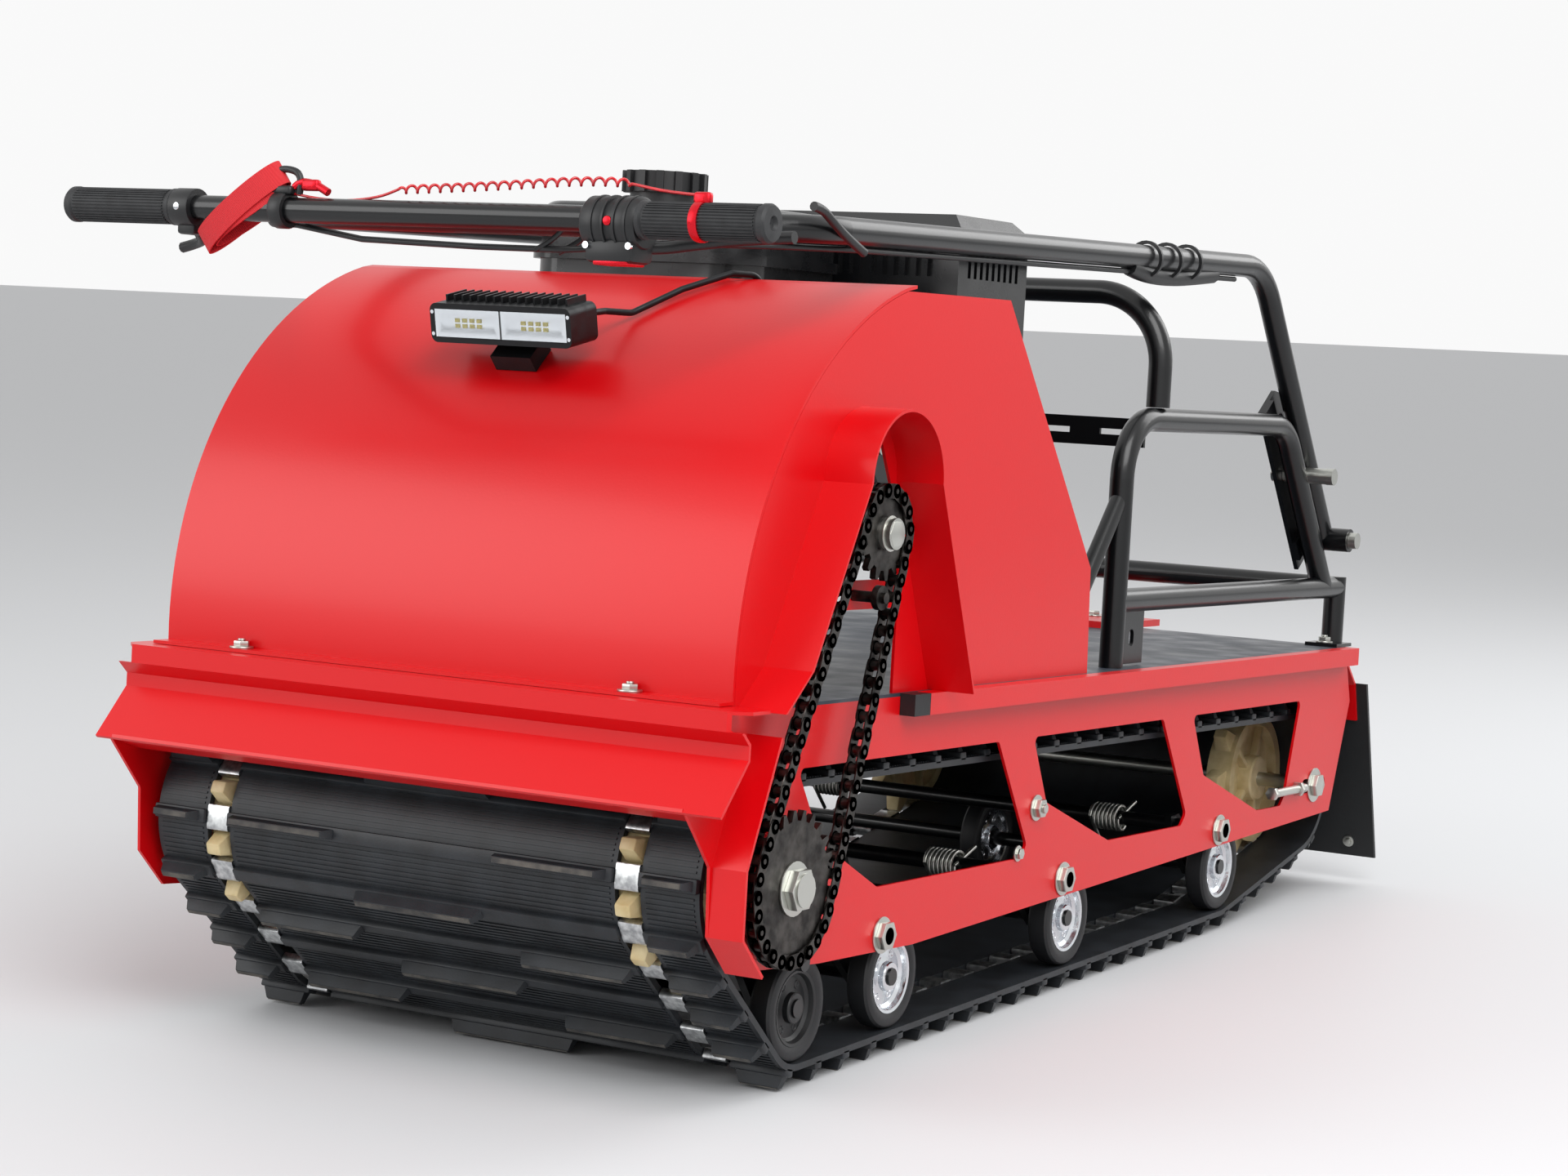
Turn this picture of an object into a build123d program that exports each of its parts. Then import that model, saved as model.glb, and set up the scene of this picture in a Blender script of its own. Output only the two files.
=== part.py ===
from build123d import *
from math import acos, atan2, cos, degrees, hypot, pi, radians, sin, tan
import os

# Tracked snow tug. Millimetres, +X to the front, +Y to the machine's left, +Z up.
# Everything is drawn level with the deck, with the origin on the ground below the
# middle of the machine, and turned nose up by the stance angle when it is written.

stance = 2.45                # degrees that the deck rises towards the front

# Deck and side plates
sheet = 3.0                  # thickness of the folded steel sheets
deck_top = 326.0             # height of the deck
deck_half = 328.0            # half the width over the deck's side flanges
deck_front = 722.0
deck_rear = -676.0
flange_front = 384.0         # where the side flanges begin
flange_drop = 20.0
stop_long = 30.0             # rubber stop ahead of each side flange
plate_in = 16.0              # how far the side plates stand in from the deck's sides
plate_half = deck_half - plate_in
plate_clear = 106.0          # ground to the plates' lower edge
plate_rear = -697.0
plate_rear_z = 261.0
plate_rear_low = -652.0      # where the lower edge ends
plate_rear_step = 22.0       # how far the top rear corner lies ahead of the rearmost point
plate_front_rise = 10.0      # rise of the lower edge at its front end
gap = 0.4                    # clearance between pieces that seat on each other
fit = 0.06                   # radial clearance of a running fit
overrun = 4.0                # how far cutting tools run past a face

# Side plate windows: x of the top corners, then of the lower ones
window_top = 269.0
window_low = 151.0
window_rise = 51.0           # height of the slanted lower corner over the lower edge
window_chamfer = 12.0
window_corner = 6.0
windows = (                  # front top, rear top, rear low, middle low, front low
    (590.0, 211.0, 139.0, 437.0, 545.0),
    (137.0, -167.0, -240.0, -48.0, 101.0),
    (-243.0, -545.0, -514.0, -435.0, -280.0),
)

# Bumper and chain shield
bumper_top_x = 730.0
bumper_top_z = 289.0
bumper_low_x = 769.0
bumper_low_z = 245.0
bumper_return = 36.0         # depth of the edge folded back under the bumper
return_rise = 12.0
lip_front = 742.0
lip_depth = 17.0
lip_corner = 22.0            # side of the square that cuts the lip's corners
cheek_x = 726.0
cheek_top_z = 196.0
cheek_low_z = 137.0
cheek_tip_x = 688.0
cheek_tip_z = 102.0
cheek_cut = 3.0
shield_out = 18.0            # how far the chain shield stands out
shield_half = deck_half + shield_out
shield_top_x = 677.0
shield_top_z = 305.0

# Hood
hood_in = 20.0
hood_half = deck_half - hood_in
hood_radius = 357.0
hood_x = 341.0               # centre of the curved front
hood_z = 347.0
hood_break_x = 433.0         # where the curved sheet ends
hood_mid_angle = 35.0        # a place on the curve between its two ends
hood_top = 693.0
hood_top_rear = 233.0
hood_slant_x = 24.0
hood_slant_z = 432.0
hood_rear = 18.0
hood_opening_front = 418.0
foot_flange = 24.0
cutout_top = 560.0
cutout_shoulder = 470.0
cutout_half = 30.0
cutout_corner = 25.0
cutout_front_inset = 12.0
cutout_rear = 422.0          # rear edge of the slot for the chain

# Guard round the chain, on the left hood panel
guard_depth = 48.0
guard_sheet = 2.5
guard_x = 500.0              # centre of the rounded top
guard_z = 518.0
guard_radius = 66.0
guard_foot_front = 690.0
guard_flare_x = 650.0        # where the front leg flares out to its foot
guard_flare_z = 360.0
guard_foot_rear = 352.0
guard_front_share = 1.4      # how much faster than the sheet the front foot, the flare
guard_flare_share = 1.1      # and the rear foot draw in, because those edges slope
guard_rear_share = 1.05

# Track
track_in = 32.0              # from the deck's side to the track's
track_half = deck_half - track_in
belt = 6.0
lug = 18.0
track_pitch = 50.5
track_teeth = 10             # on the drive wheels and the rear wheels
drive_x = 631.0
drive_z = 172.0
idler_x = -599.0
idler_z = 168.0
lug_base = 14.0
lug_tip = 4.0
column_in = 72.0             # from the track's side to its row of drive wheels
window_column = track_half - column_in
lug_row = 145.0              # width of the lugs beside the middle row
lug_break = window_column - lug_row

# Road wheels on trailing arms
wheel_radius = 49.0
wheel_width = 24.0
rim_radius = 34.0
rim_half = 10.0              # half the width of a wheel's rim
web_half = 3.0               # half the thickness of its web
dish_radius = 27.0
hub_radius = 14.0
stations = ((574.0, 536.0), (424.0, 364.0), (55.0, -3.0), (-330.0, -386.0))  # pivot, then axle
arm_pivot_z = 124.0
arm_plate = 8.0
arm_boss = 15.0
axle_radius = 8.0
wheel_in = 14.0              # from the track's side to the outer wheels' middle
wheel_row = track_half - wheel_in
wheel_rows = (-wheel_row, 0.0, wheel_row)
arm_in = 26.0                # from the outer wheels to their arms
arm_row = wheel_row - arm_in
wheel_sides = 16             # flats round a tyre
spring_in = 44.0             # from the drive wheels' row to the springs
spring_row = window_column - spring_in
spring_long = 38.0
spring_radius = 17.0
tension_travel = 70.0         # slot for the rear shaft's tension bolt
pivot_reach = 9.0            # how far the pivot shafts stand out of the side plates

# Drive
chain_pitch = 15.875
chain_out = 7.0              # from the deck's side to the middle of the chain
chain_y = deck_half + chain_out
large_teeth = 25
small_teeth = 15
crank_x = 504.0
crank_z = 474.0
sprocket_wide = 6.0
root_share = 0.32            # chain pitches from the pitch circle down to a tooth's root
tip_share = 0.26             # and up to its tip
foot_share = 0.32            # half widths of a tooth as shares of its spacing
point_share = 0.12
room_share = 0.34            # height of the chain that its inner plates leave free
chain_wide = 14.0
chain_high = 14.0
shaft_radius = 15.0
drive_wheel_wide = 32.0
cog_deep = 13.0              # depth of the drive wheels' teeth
cog_tip_share = 0.17         # half widths of a drive tooth as shares of its spacing
cog_root_share = 0.30
cog_holes = 5
cog_hole = 11.0
cog_hole_at = 41.0
cog_hub = 26.0
cog_hub_over = 7.0           # how far the hub stands out on both sides
shaft_reach = 16.0           # from the chain to the drive shaft's end
rear_reach = 8.0             # how far the rear shaft stands out of the side plate
blind_reach = 6.0            # the same on the right side
crank_radius = 14.0
crank_reach = 14.0           # from the chain to the crankshaft's end
tensioner_x = 504.0
tensioner_z = 417.0
tensioner_radius = 11.0
tensioner_bolt = 5.0
tab_half = 13.0              # half the height of the tab that carries the tensioner

# Cage behind the engine
tube = 12.5                  # radius of the frame's tubes
cage_in = 38.0
cage_y = deck_half - cage_in
cage_front = -75.0
cage_rear = -683.0
cage_top = 583.0
cage_low = 395.0
cage_bend = 62.0
post_clear = 5.5             # between the handle's leg and the slanted tube below it
stay_top = 505.0             # front stay of the cage
stay_foot_x = 75.0
gusset_long = 58.0
gusset_high = 54.0
gusset_sheet = 4.0
foot_long = 46.0
foot_wide = 40.0
bar_sheet = 4.0              # slotted flat bar between the cage sides
bar_high = 30.0
slot_long = 34.0
slot_high = 6.0
slot_count = 8
hoop_x = -152.0
hoop_top = 727.0
hoop_bend = 75.0

# Engine
engine_base = 342.0
case_in = 170.0              # from the chain to the crankcase
case_left = chain_y - case_in
# low x, high x, low y, high y, low z, high z
crankcase = (360.0, 600.0, -140.0, case_left, engine_base, 560.0)
case_corner = 24.0
barrel_slope = 20.0          # degrees that the cylinder rises towards the rear
barrel_half = (74.0, 62.0)   # cylinder under its fins, across and up
fin_half = (96.0, 84.0)
fin_from = 122.0             # from the crankshaft to the first cylinder fin
fin_step = 11.0
cylinder_fins = 10
fin_plate = 4.0
head_to = 292.0              # from the crankshaft to the end of the cylinder head
head_half = (82.0, 70.0)
blower_radius = 126.0
blower_wide = 62.0
blower_head = 150.0          # how far up the cylinder the blower's duct reaches
starter_radius = 92.0
starter_wide = 26.0
starter_slots = 12
starter_slot = (34.0, 7.0)   # length and width
starter_slot_at = 60.0
slot_deep = 10.0
tank_box = (215.0, 410.0, -130.0, 118.0, 662.0, 764.0)
tank_corner = 38.0
tank_crown = 14.0
tank_leg = (360.0, 404.0)    # x of the brackets under the tank
tank_leg_sheet = 14.0
tank_leg_row = 88.0
seam_high = 10.0             # welded rim round the tank
seam_out = 5.0
cap_radius = 41.0
cap_neck = 33.0
cap_height = 30.0
cap_rib = 3.5
cap_ribs = 14
cap_x = 372.0
cap_y = 2.0
cover_in = 55.0              # from the cage's plane to the muffler cover
filter_in = 90.0             # and to the air filter
muffler_box = (60.0, 205.0, 10.0, cage_y - cover_in, 655.0, 772.0)
cover_chamfer = 26.0
cover_slot = (6.0, 34.0)     # width and height of the cover's louvres
cover_slot_step = 12.5
cover_slots_front = 14
cover_slots_side = 9
cover_slot_z = 728.0
cover_slot_deep = 5.0
port = (150.0, 245.0, 50.0, 92.0, 572.0)     # exhaust port: low x, high x, low y, high y, low z
intake = (205.4, 280.0, -92.0, -50.0, 604.0, 640.0)
filter_box = (60.0, 205.0, filter_in - cage_y, -10.0, 600.0, 742.0)
filter_corner = 22.0
filter_band = (668.0, 5.0)   # height of the joint round the filter's lid, and its depth
clutch_radius = 62.0
clutch_wide = 90.0
clutch_start = 22.0          # from the crankcase to the clutch
plinth_edge = 20.0           # how far the plinth stands out round the crankcase

# Handle, folded forward over the machine
pivot_x = -635.0
pivot_z = 453.0
pin = 6.0
sleeve = 13.5                # radius of the sleeve at the leg's end
sleeve_long = 46.0
lock_sleeve = 9.0            # radius of the sleeve that the leg rests on
fork_sheet = 5.0
fork_back = 17.0             # how far the plates reach behind the leg's middle line
fork_tail = 14.0
fork_long = 212.0
# along the leg, below it, radius
fork_holes = ((55.0, 2.0, 7.0), (172.0, 6.0, 11.0))
nut_long = 9.0
head_long = 9.0
head_radius = 9.5
stay_tube = 9.0
lock_along = 110.0           # from the hinge to the bolt that the leg rests on
elbow_x = -404.0
elbow_z = 757.0
elbow_bend = 90.0
bar_x = 779.0
bar_z = 727.0
bar_half = 372.0
bar_tube = 11.0
grip = 16.5
grip_long = 124.0
leg_turn_x = 560.0
leg_turn_z = 735.0
leg_end_in = 197.0           # from the bar's end to the leg's front end
leg_in = bar_half - leg_end_in
bar_reach = 60.0             # from the handle's cross tube to the bar
stem_radius = 9.0
stem_in = 55.0
stem_y = leg_in - stem_in
grip_end = 4.0               # thickness of the grips' closed ends
clamp_wide = 22.0            # lever clamps beside the grips
clamp_radius = 17.0
lever_back = 46.0            # from the bar to a lever
lever_thick = 7.0
lever_high = 12.0
lever_long = 148.0           # brake lever behind the left grip
thumb_long = 45.0            # short lever at the right grip
housing_wide = 56.0          # housing of the throttle and the switches
housing_half = 24.0
housing_drop = 14.0

# Control cable along the handle, and the coiled tether on the bar
cable_radius = 2.75
cable_bend = 40.0
tether_radius = 4.5
tether_bend = 60.0
lead_radius = 3.0
lead_bend = 14.0
# x, y, z of the cable from the lever's root to the leg's rear end
cable_route = (
    (753.0, -230.3, 725.0), (753.0, -170.0, 721.0), (755.0, -60.0, 705.0), (753.0, 60.0, 702.0),
    (744.0, 145.0, 702.0), (671.3, 209.5, 713.7), (591.8, 267.0, 717.7), (500.0, 290.0, 720.7),
    (0.0, 290.0, 732.1), (-330.0, 290.0, 739.6),
)
tether_route = (
    (779.0, -125.0, 742.8), (779.0, -20.0, 746.0), (779.0, 100.0, 752.0), (779.0, 185.0, 758.0),
    (779.0, 240.0, 757.0), (779.0, 300.0, 748.4),
)
lead_route = (
    (593.0, 66.0, 652.0), (562.0, 68.0, 656.0), (532.8, 78.0, 656.0), (488.2, 102.0, 680.5),
    (441.0, 126.0, 698.5), (412.0, 136.0, 698.5), (400.0, 140.0, 668.0),
)

# Rear end
flap_out = 46.0              # from the deck's rear edge to the flap
flap_top_z = 280.0
flap_lean = 64.0             # how far the flap's lower edge trails its upper one
flap_low_z = 66.0
flap_in = 6.0
flap_half = deck_half - flap_in
flap_sheet = 5.0
panel_seat = 44.0            # height of the strip that the flap is bolted to
hitch_half = 40.0
hitch_sheet = 8.0
hitch_rear = -742.0
hitch_front = -610.0
hitch_hole_in = 24.0
hitch_hole = 8.5

# Lamp
lamp_x = 604.0
lamp_y = -2.0
lamp_z = 642.0
lamp_half = 77.0
lamp_deep = 42.0
lamp_high = 36.0
lamp_tilt = 12.0
lamp_corner = 7.0
lamp_rim = 5.0
lens_deep = 4.0
fin_count = 16
fin_sheet = 2.0
fin_high = 6.0
fin_back = 6.0
bracket_angle = 47.0         # place round the hood's curve
bracket_long = 30.0
bracket_wide = 44.0
bracket_high = 16.0


def ground(x):
    """Height of the floor at x in the deck's frame."""
    return -x * tan(radians(stance))


def flat_y(points, y0, y1):
    """Solid between y0 and y1 from an outline in the X-Z plane."""
    face = make_face(Polyline([(x, y0, z) for x, z in points], close=True))
    return extrude(face, amount=y1 - y0, dir=(0, 1, 0))


def rod_y(x, z, y0, y1, radius):
    return Pos(x, (y0 + y1) / 2, z) * Rot(90, 0, 0) * Cylinder(radius, abs(y1 - y0))


def rod_z(x, y, z0, z1, radius):
    return Pos(x, y, (z0 + z1) / 2) * Cylinder(radius, z1 - z0)


def block(x0, x1, y0, y1, z0, z1):
    return Pos((x0 + x1) / 2, (y0 + y1) / 2, (z0 + z1) / 2) * Box(x1 - x0, y1 - y0, z1 - z0)


def bent_tube(points, bend, radius):
    """Round bar along a polyline, with one bend radius."""
    path = FilletPolyline(*points, radius=bend) if len(points) > 2 else Line(*points)
    return sweep(Plane(origin=path @ 0, z_dir=path % 0) * Circle(radius), path=path)


def belt_path(wheels):
    """Tangent loop round circles (x, z, r) given clockwise as seen from the left.

    Returns the straight runs, each as the two points where it leaves one
    circle and meets the next.
    """
    runs = []
    for (x0, z0, r0), (x1, z1, r1) in zip(wheels, wheels[1:] + wheels[:1]):
        length = hypot(x1 - x0, z1 - z0)
        heading = atan2(z1 - z0, x1 - x0)
        normal = heading - acos((r0 - r1) / length)
        runs.append(((x0 + r0 * cos(normal), z0 + r0 * sin(normal)),
                     (x1 + r1 * cos(normal), z1 + r1 * sin(normal))))
    return runs


def loop_face(wheels, grow, y):
    """Face inside a tangent loop whose circles are grown by a distance."""
    grown = [(x, z, r + grow) for x, z, r in wheels]
    runs = belt_path(grown)
    edges = []
    for i, (start, end) in enumerate(runs):
        edges.append(Line((start[0], y, start[1]), (end[0], y, end[1])))
        x, z, r = grown[(i + 1) % len(grown)]
        leave = runs[(i + 1) % len(runs)][0]
        a0 = atan2(end[1] - z, end[0] - x)
        a1 = atan2(leave[1] - z, leave[0] - x)
        turn = (a1 - a0) % (2 * pi)
        mid = a0 + turn / 2
        edges.append(ThreePointArc((end[0], y, end[1]),
                                   (x + r * cos(mid), y, z + r * sin(mid)),
                                   (leave[0], y, leave[1])))
    return make_face(Wire(edges))


def walk(wheels, grow, count):
    """Evenly spaced places (x, z, heading) along the loop, outside its circles."""
    grown = [(x, z, r + grow) for x, z, r in wheels]
    runs = belt_path(grown)
    pieces = []
    for i, (start, end) in enumerate(runs):
        pieces.append(("run", start, end, hypot(end[0] - start[0], end[1] - start[1])))
        x, z, r = grown[(i + 1) % len(grown)]
        leave = runs[(i + 1) % len(runs)][0]
        a0 = atan2(end[1] - z, end[0] - x)
        a1 = atan2(leave[1] - z, leave[0] - x)
        turn = (a1 - a0) % (2 * pi)
        pieces.append(("arc", (x, z, r), (a0, turn), r * turn))
    total = sum(p[3] for p in pieces)
    places = []
    for n in range(count):
        s = total * n / count
        for kind, a, b, length in pieces:
            if s > length:
                s -= length
                continue
            if kind == "run":
                t = s / length
                places.append((a[0] + t * (b[0] - a[0]), a[1] + t * (b[1] - a[1]),
                               atan2(b[1] - a[1], b[0] - a[0])))
            else:
                angle = b[0] + b[1] * s / length
                places.append((a[0] + a[2] * cos(angle), a[1] + a[2] * sin(angle), angle + pi / 2))
            break
    return places, total


wheel_ground = (wheel_radius + belt + lug) / cos(radians(stance))
arm_pivots = [pivot for pivot, axle in stations]
wheel_xs = [axle for pivot, axle in stations]
wheels_at = [(x, ground(x) + wheel_ground) for x in wheel_xs]
drum = track_pitch * track_teeth / (2 * pi) - belt / 2
# The circles inside the belt, counterclockwise seen from the right side
loop_wheels = [
    (idler_x, idler_z, drum),
    (wheels_at[3][0], wheels_at[3][1], wheel_radius),
    (wheels_at[0][0], wheels_at[0][1], wheel_radius),
    (drive_x, drive_z, drum),
]
parts = {}


# Bumper: lip, sloped face and the edge folded back below it
lip_z = deck_top + sheet
bumper_line = [
    (hood_x + hood_radius, lip_z), (lip_front, lip_z), (lip_front, lip_z - lip_depth),
    (bumper_top_x, bumper_top_z + return_rise), (bumper_top_x, bumper_top_z), (bumper_low_x, bumper_low_z),
]
return_line = [(bumper_low_x, bumper_low_z), (bumper_low_x - bumper_return, bumper_low_z - return_rise)]


def offset_line(points, t):
    """The same open line moved inwards by t, for the inner side of a folded sheet."""
    moved = []
    for i, (x, z) in enumerate(points):
        normals = []
        if i > 0:
            a = atan2(z - points[i - 1][1], x - points[i - 1][0]) - pi / 2
            normals.append(a)
        if i < len(points) - 1:
            a = atan2(points[i + 1][1] - z, points[i + 1][0] - x) - pi / 2
            normals.append(a)
        if len(normals) == 1:
            moved.append((x + t * cos(normals[0]), z + t * sin(normals[0])))
        else:
            mean = atan2(sin(normals[0]) + sin(normals[1]), cos(normals[0]) + cos(normals[1]))
            reach = t / cos(mean - normals[0])
            moved.append((x + reach * cos(mean), z + reach * sin(mean)))
    return moved


def folded_sheet(line, t, y0, y1):
    return flat_y(line + offset_line(line, t)[::-1], y0, y1)



def plate_outline():
    """Outline of a side plate, with its lower edge level with the ground."""
    low = [(x, ground(x) + plate_clear) for x in (wheel_xs[0], wheel_xs[1], plate_rear_low)]
    front = offset_line(bumper_line, sheet + gap)
    return [
        (plate_rear + plate_rear_step, deck_top - sheet), (plate_rear, plate_rear_z),
        low[2], low[1], (low[0][0], low[0][1] + plate_front_rise),
        (cheek_tip_x, cheek_tip_z), (cheek_x - cheek_cut, cheek_low_z), (cheek_x, cheek_top_z),
        front[5], front[4], front[3], (front[3][0], deck_top - sheet),
    ]


def window_cut(front_top, rear_top, rear_low, middle_low, front_low, y0, y1):
    points = [
        (front_top, window_top), (rear_top, window_top),
        (rear_low, window_low + window_chamfer), (rear_low + window_chamfer, window_low),
        (middle_low, window_low), (front_low, window_low + window_rise),
    ]
    solid = flat_y(points, y0, y1)
    return fillet(solid.edges().filter_by(Axis.Y), window_corner)


def make_side_plate(side):
    y0, y1 = sorted((side * (plate_half - sheet), side * plate_half))
    plate = flat_y(plate_outline(), y0, y1)
    for front_top, rear_top, rear_low, middle_low, front_low in windows:
        plate -= window_cut(front_top, rear_top, rear_low, middle_low, front_low,
                            y0 - overrun, y1 + overrun)
    plate -= rod_y(drive_x, drive_z, y0 - overrun, y1 + overrun, shaft_radius + gap)
    for x in arm_pivots:
        plate -= rod_y(x, ground(x) + arm_pivot_z, y0 - overrun, y1 + overrun, axle_radius + gap)
    slot = Pos(idler_x, (y0 + y1) / 2, idler_z) * Rot(90, 0, 0) * extrude(
        SlotOverall(tension_travel, 2 * (axle_radius + gap)), amount=sheet + overrun, both=True)
    return plate - slot


for name, side in (("side_plate_left", 1), ("side_plate_right", -1)):
    parts[name] = make_side_plate(side)

# Deck, its two folded side edges and the stops ahead of them
parts["deck_plate"] = block(deck_rear, deck_front, -plate_half, plate_half, deck_top - sheet, deck_top)
edge = block(deck_rear, flange_front, plate_half + gap, deck_half, deck_top - sheet, deck_top)
edge += block(deck_rear, flange_front, deck_half - sheet, deck_half, deck_top - flange_drop, deck_top)
edge += block(deck_rear, deck_rear + sheet, plate_half + gap, deck_half, deck_top - flange_drop, deck_top)
stop = block(flange_front + gap, flange_front + stop_long, plate_half + gap, deck_half,
             deck_top - flange_drop, deck_top)
parts["deck_edges"] = Compound([edge, mirror(edge, Plane.XZ)])
parts["edge_stops"] = Compound([stop, mirror(stop, Plane.XZ)])

inside = plate_half - sheet - gap
bumper = (folded_sheet(bumper_line, sheet, -deck_half, shield_half)
          + folded_sheet(return_line, sheet, -inside, inside))
for y, side in ((-deck_half, -1), (shield_half, 1)):
    corner = Pos(lip_front, y, lip_z) * Rot(0, 0, 45) * Box(lip_corner, lip_corner, 2 * lip_depth)
    bumper -= corner
parts["front_bumper"] = bumper

# Shield in front of the chain
shield_line = [
    (shield_top_x, shield_top_z), (cheek_x - sheet, cheek_top_z), (cheek_x - sheet, cheek_low_z),
    (cheek_tip_x, cheek_tip_z),
]
parts["chain_shield"] = folded_sheet(shield_line, sheet, plate_half, shield_half - gap)


def hood_outline(inset):
    """Side view of the hood, its curved front drawn in by the inset."""
    r = hood_radius - inset
    foot_x = hood_x + (r ** 2 - (deck_top - hood_z) ** 2) ** 0.5
    break_z = hood_z + (r ** 2 - (hood_break_x - hood_x) ** 2) ** 0.5
    mid = radians(hood_mid_angle)
    return foot_x, break_z, ThreePointArc(
        (foot_x, 0, deck_top), (hood_x + r * cos(mid), 0, hood_z + r * sin(mid)),
        (hood_break_x, 0, break_z))


def make_hood_shell():
    outer_foot, outer_z, outer = hood_outline(0.0)
    inner_foot, inner_z, inner = hood_outline(sheet)
    top_end = hood_opening_front
    edges = [
        outer, Line((hood_break_x, 0, outer_z), (top_end, 0, hood_top + sheet / 2)),
        Line((top_end, 0, hood_top + sheet / 2), (top_end, 0, hood_top - sheet / 2)),
        Line((top_end, 0, hood_top - sheet / 2), (hood_break_x, 0, inner_z)),
        inner, Line((inner_foot, 0, deck_top), (outer_foot, 0, deck_top)),
    ]
    face = make_face(Wire(edges))
    shell = Pos(0, -hood_half, 0) * extrude(face, amount=2 * hood_half, dir=(0, 1, 0))
    seat = lip_z + gap
    return shell + block(inner_foot, inner_foot + foot_flange, -hood_half, hood_half, seat, seat + sheet)


def make_hood_side(side):
    foot, top_z, arc = hood_outline(sheet + gap)
    edges = [
        arc, Line((hood_break_x, 0, top_z), (hood_top_rear, 0, hood_top - sheet)),
        Line((hood_top_rear, 0, hood_top - sheet), (hood_slant_x, 0, hood_slant_z)),
        Line((hood_slant_x, 0, hood_slant_z), (hood_rear, 0, deck_top)),
        Line((hood_rear, 0, deck_top), (foot, 0, deck_top)),
    ]
    face = make_face(Wire(edges))
    y0 = side * hood_half if side < 0 else hood_half - sheet
    panel = Pos(0, y0, 0) * extrude(face, amount=sheet, dir=(0, 1, 0))
    if side > 0:
        slot = [
            (cutout_rear, deck_top - overrun), (cutout_rear, cutout_shoulder),
            (guard_x - cutout_half, cutout_top), (guard_x + cutout_half, cutout_top),
            (guard_flare_x - cutout_front_inset, guard_flare_z),
            (guard_flare_x - cutout_front_inset, deck_top - overrun),
        ]
        cut = flat_y(slot, hood_half - sheet - overrun, hood_half + overrun)
        panel -= fillet(cut.edges().filter_by(Axis.Y).sort_by(Axis.Z)[-2:], cutout_corner)
        panel += block(cutout_rear - overrun, tensioner_x + tab_half, hood_half - sheet, hood_half,
                       tensioner_z - tab_half, tensioner_z + tab_half)
    return panel


parts["hood_shell"] = make_hood_shell()
parts["hood_side_left"] = make_hood_side(1)
parts["hood_side_right"] = make_hood_side(-1)


def guard_face(inset):
    r = guard_radius - inset
    front_foot = guard_foot_front - inset * guard_front_share
    rear_foot = guard_foot_rear + inset * guard_rear_share
    flare_x = guard_flare_x - inset * guard_flare_share
    return (
        [(rear_foot, deck_top), (guard_x - r, guard_z), (guard_x, guard_z + r), (guard_x + r, guard_z),
         (flare_x, guard_flare_z), (front_foot, deck_top)])


def make_guard():
    bodies = []
    for inset in (0.0, guard_sheet):
        rear, left, top, right, flare, foot = guard_face(inset)
        p = [(x, 0, z) for x, z in (rear, left, top, right, flare, foot)]
        wire = Wire([Line(p[0], p[1]), ThreePointArc(p[1], p[2], p[3]), Line(p[3], p[4]),
                     Line(p[4], p[5]), Line(p[5], p[0])])
        bodies.append(Pos(0, hood_half, 0) * extrude(make_face(wire), amount=guard_depth, dir=(0, 1, 0)))
    inner = Pos(0, 0, -overrun) * bodies[1] + bodies[1]
    return bodies[0] - inner


parts["chain_guard"] = make_guard()

# Track: three bands across the belt, so that the lugs stagger
lug_count = round(walk(loop_wheels, belt, 1)[1] / track_pitch)
band_edges = (-track_half, -window_column, -lug_break, lug_break, window_column, track_half)
# For each band: its first lug, and every how many places it has one
band_order_shares = ((0, 1), (1, 2), (0, 2), (1, 2), (0, 1))


def track_band(y0, y1, first, every):
    places, total = walk(loop_wheels, belt, lug_count)
    outer = loop_face(loop_wheels, belt, y0)
    inner = loop_face(loop_wheels, 0.0, y0)
    band = extrude(outer - inner, amount=y1 - y0, dir=(0, 1, 0))
    teeth = []
    for x, z, heading in places[first::every]:
        out = heading - pi / 2
        points = []
        for along, up in ((-lug_base / 2, -belt / 2), (-lug_base / 2, 0), (-lug_tip / 2, lug),
                          (lug_tip / 2, lug), (lug_base / 2, 0), (lug_base / 2, -belt / 2)):
            points.append((x + along * cos(heading) + up * cos(out),
                           z + along * sin(heading) + up * sin(out)))
        teeth.append(flat_y(points, y0, y1))
    return band.fuse(*teeth)


track = [track_band(y0, y1, first, every)
         for y0, y1, (first, every) in zip(band_edges, band_edges[1:], band_order_shares)]
parts["track_belt"] = track[0].fuse(*track[1:])

# Trailing arms with their pivot shafts and axles, one station for each pair of arms
def wheel_disc(x, z, y0, y1, radius):
    face = Plane.XZ * RegularPolygon(radius, wheel_sides)
    return Pos(x, y0, z) * extrude(face, amount=y1 - y0, dir=(0, 1, 0))


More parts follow.
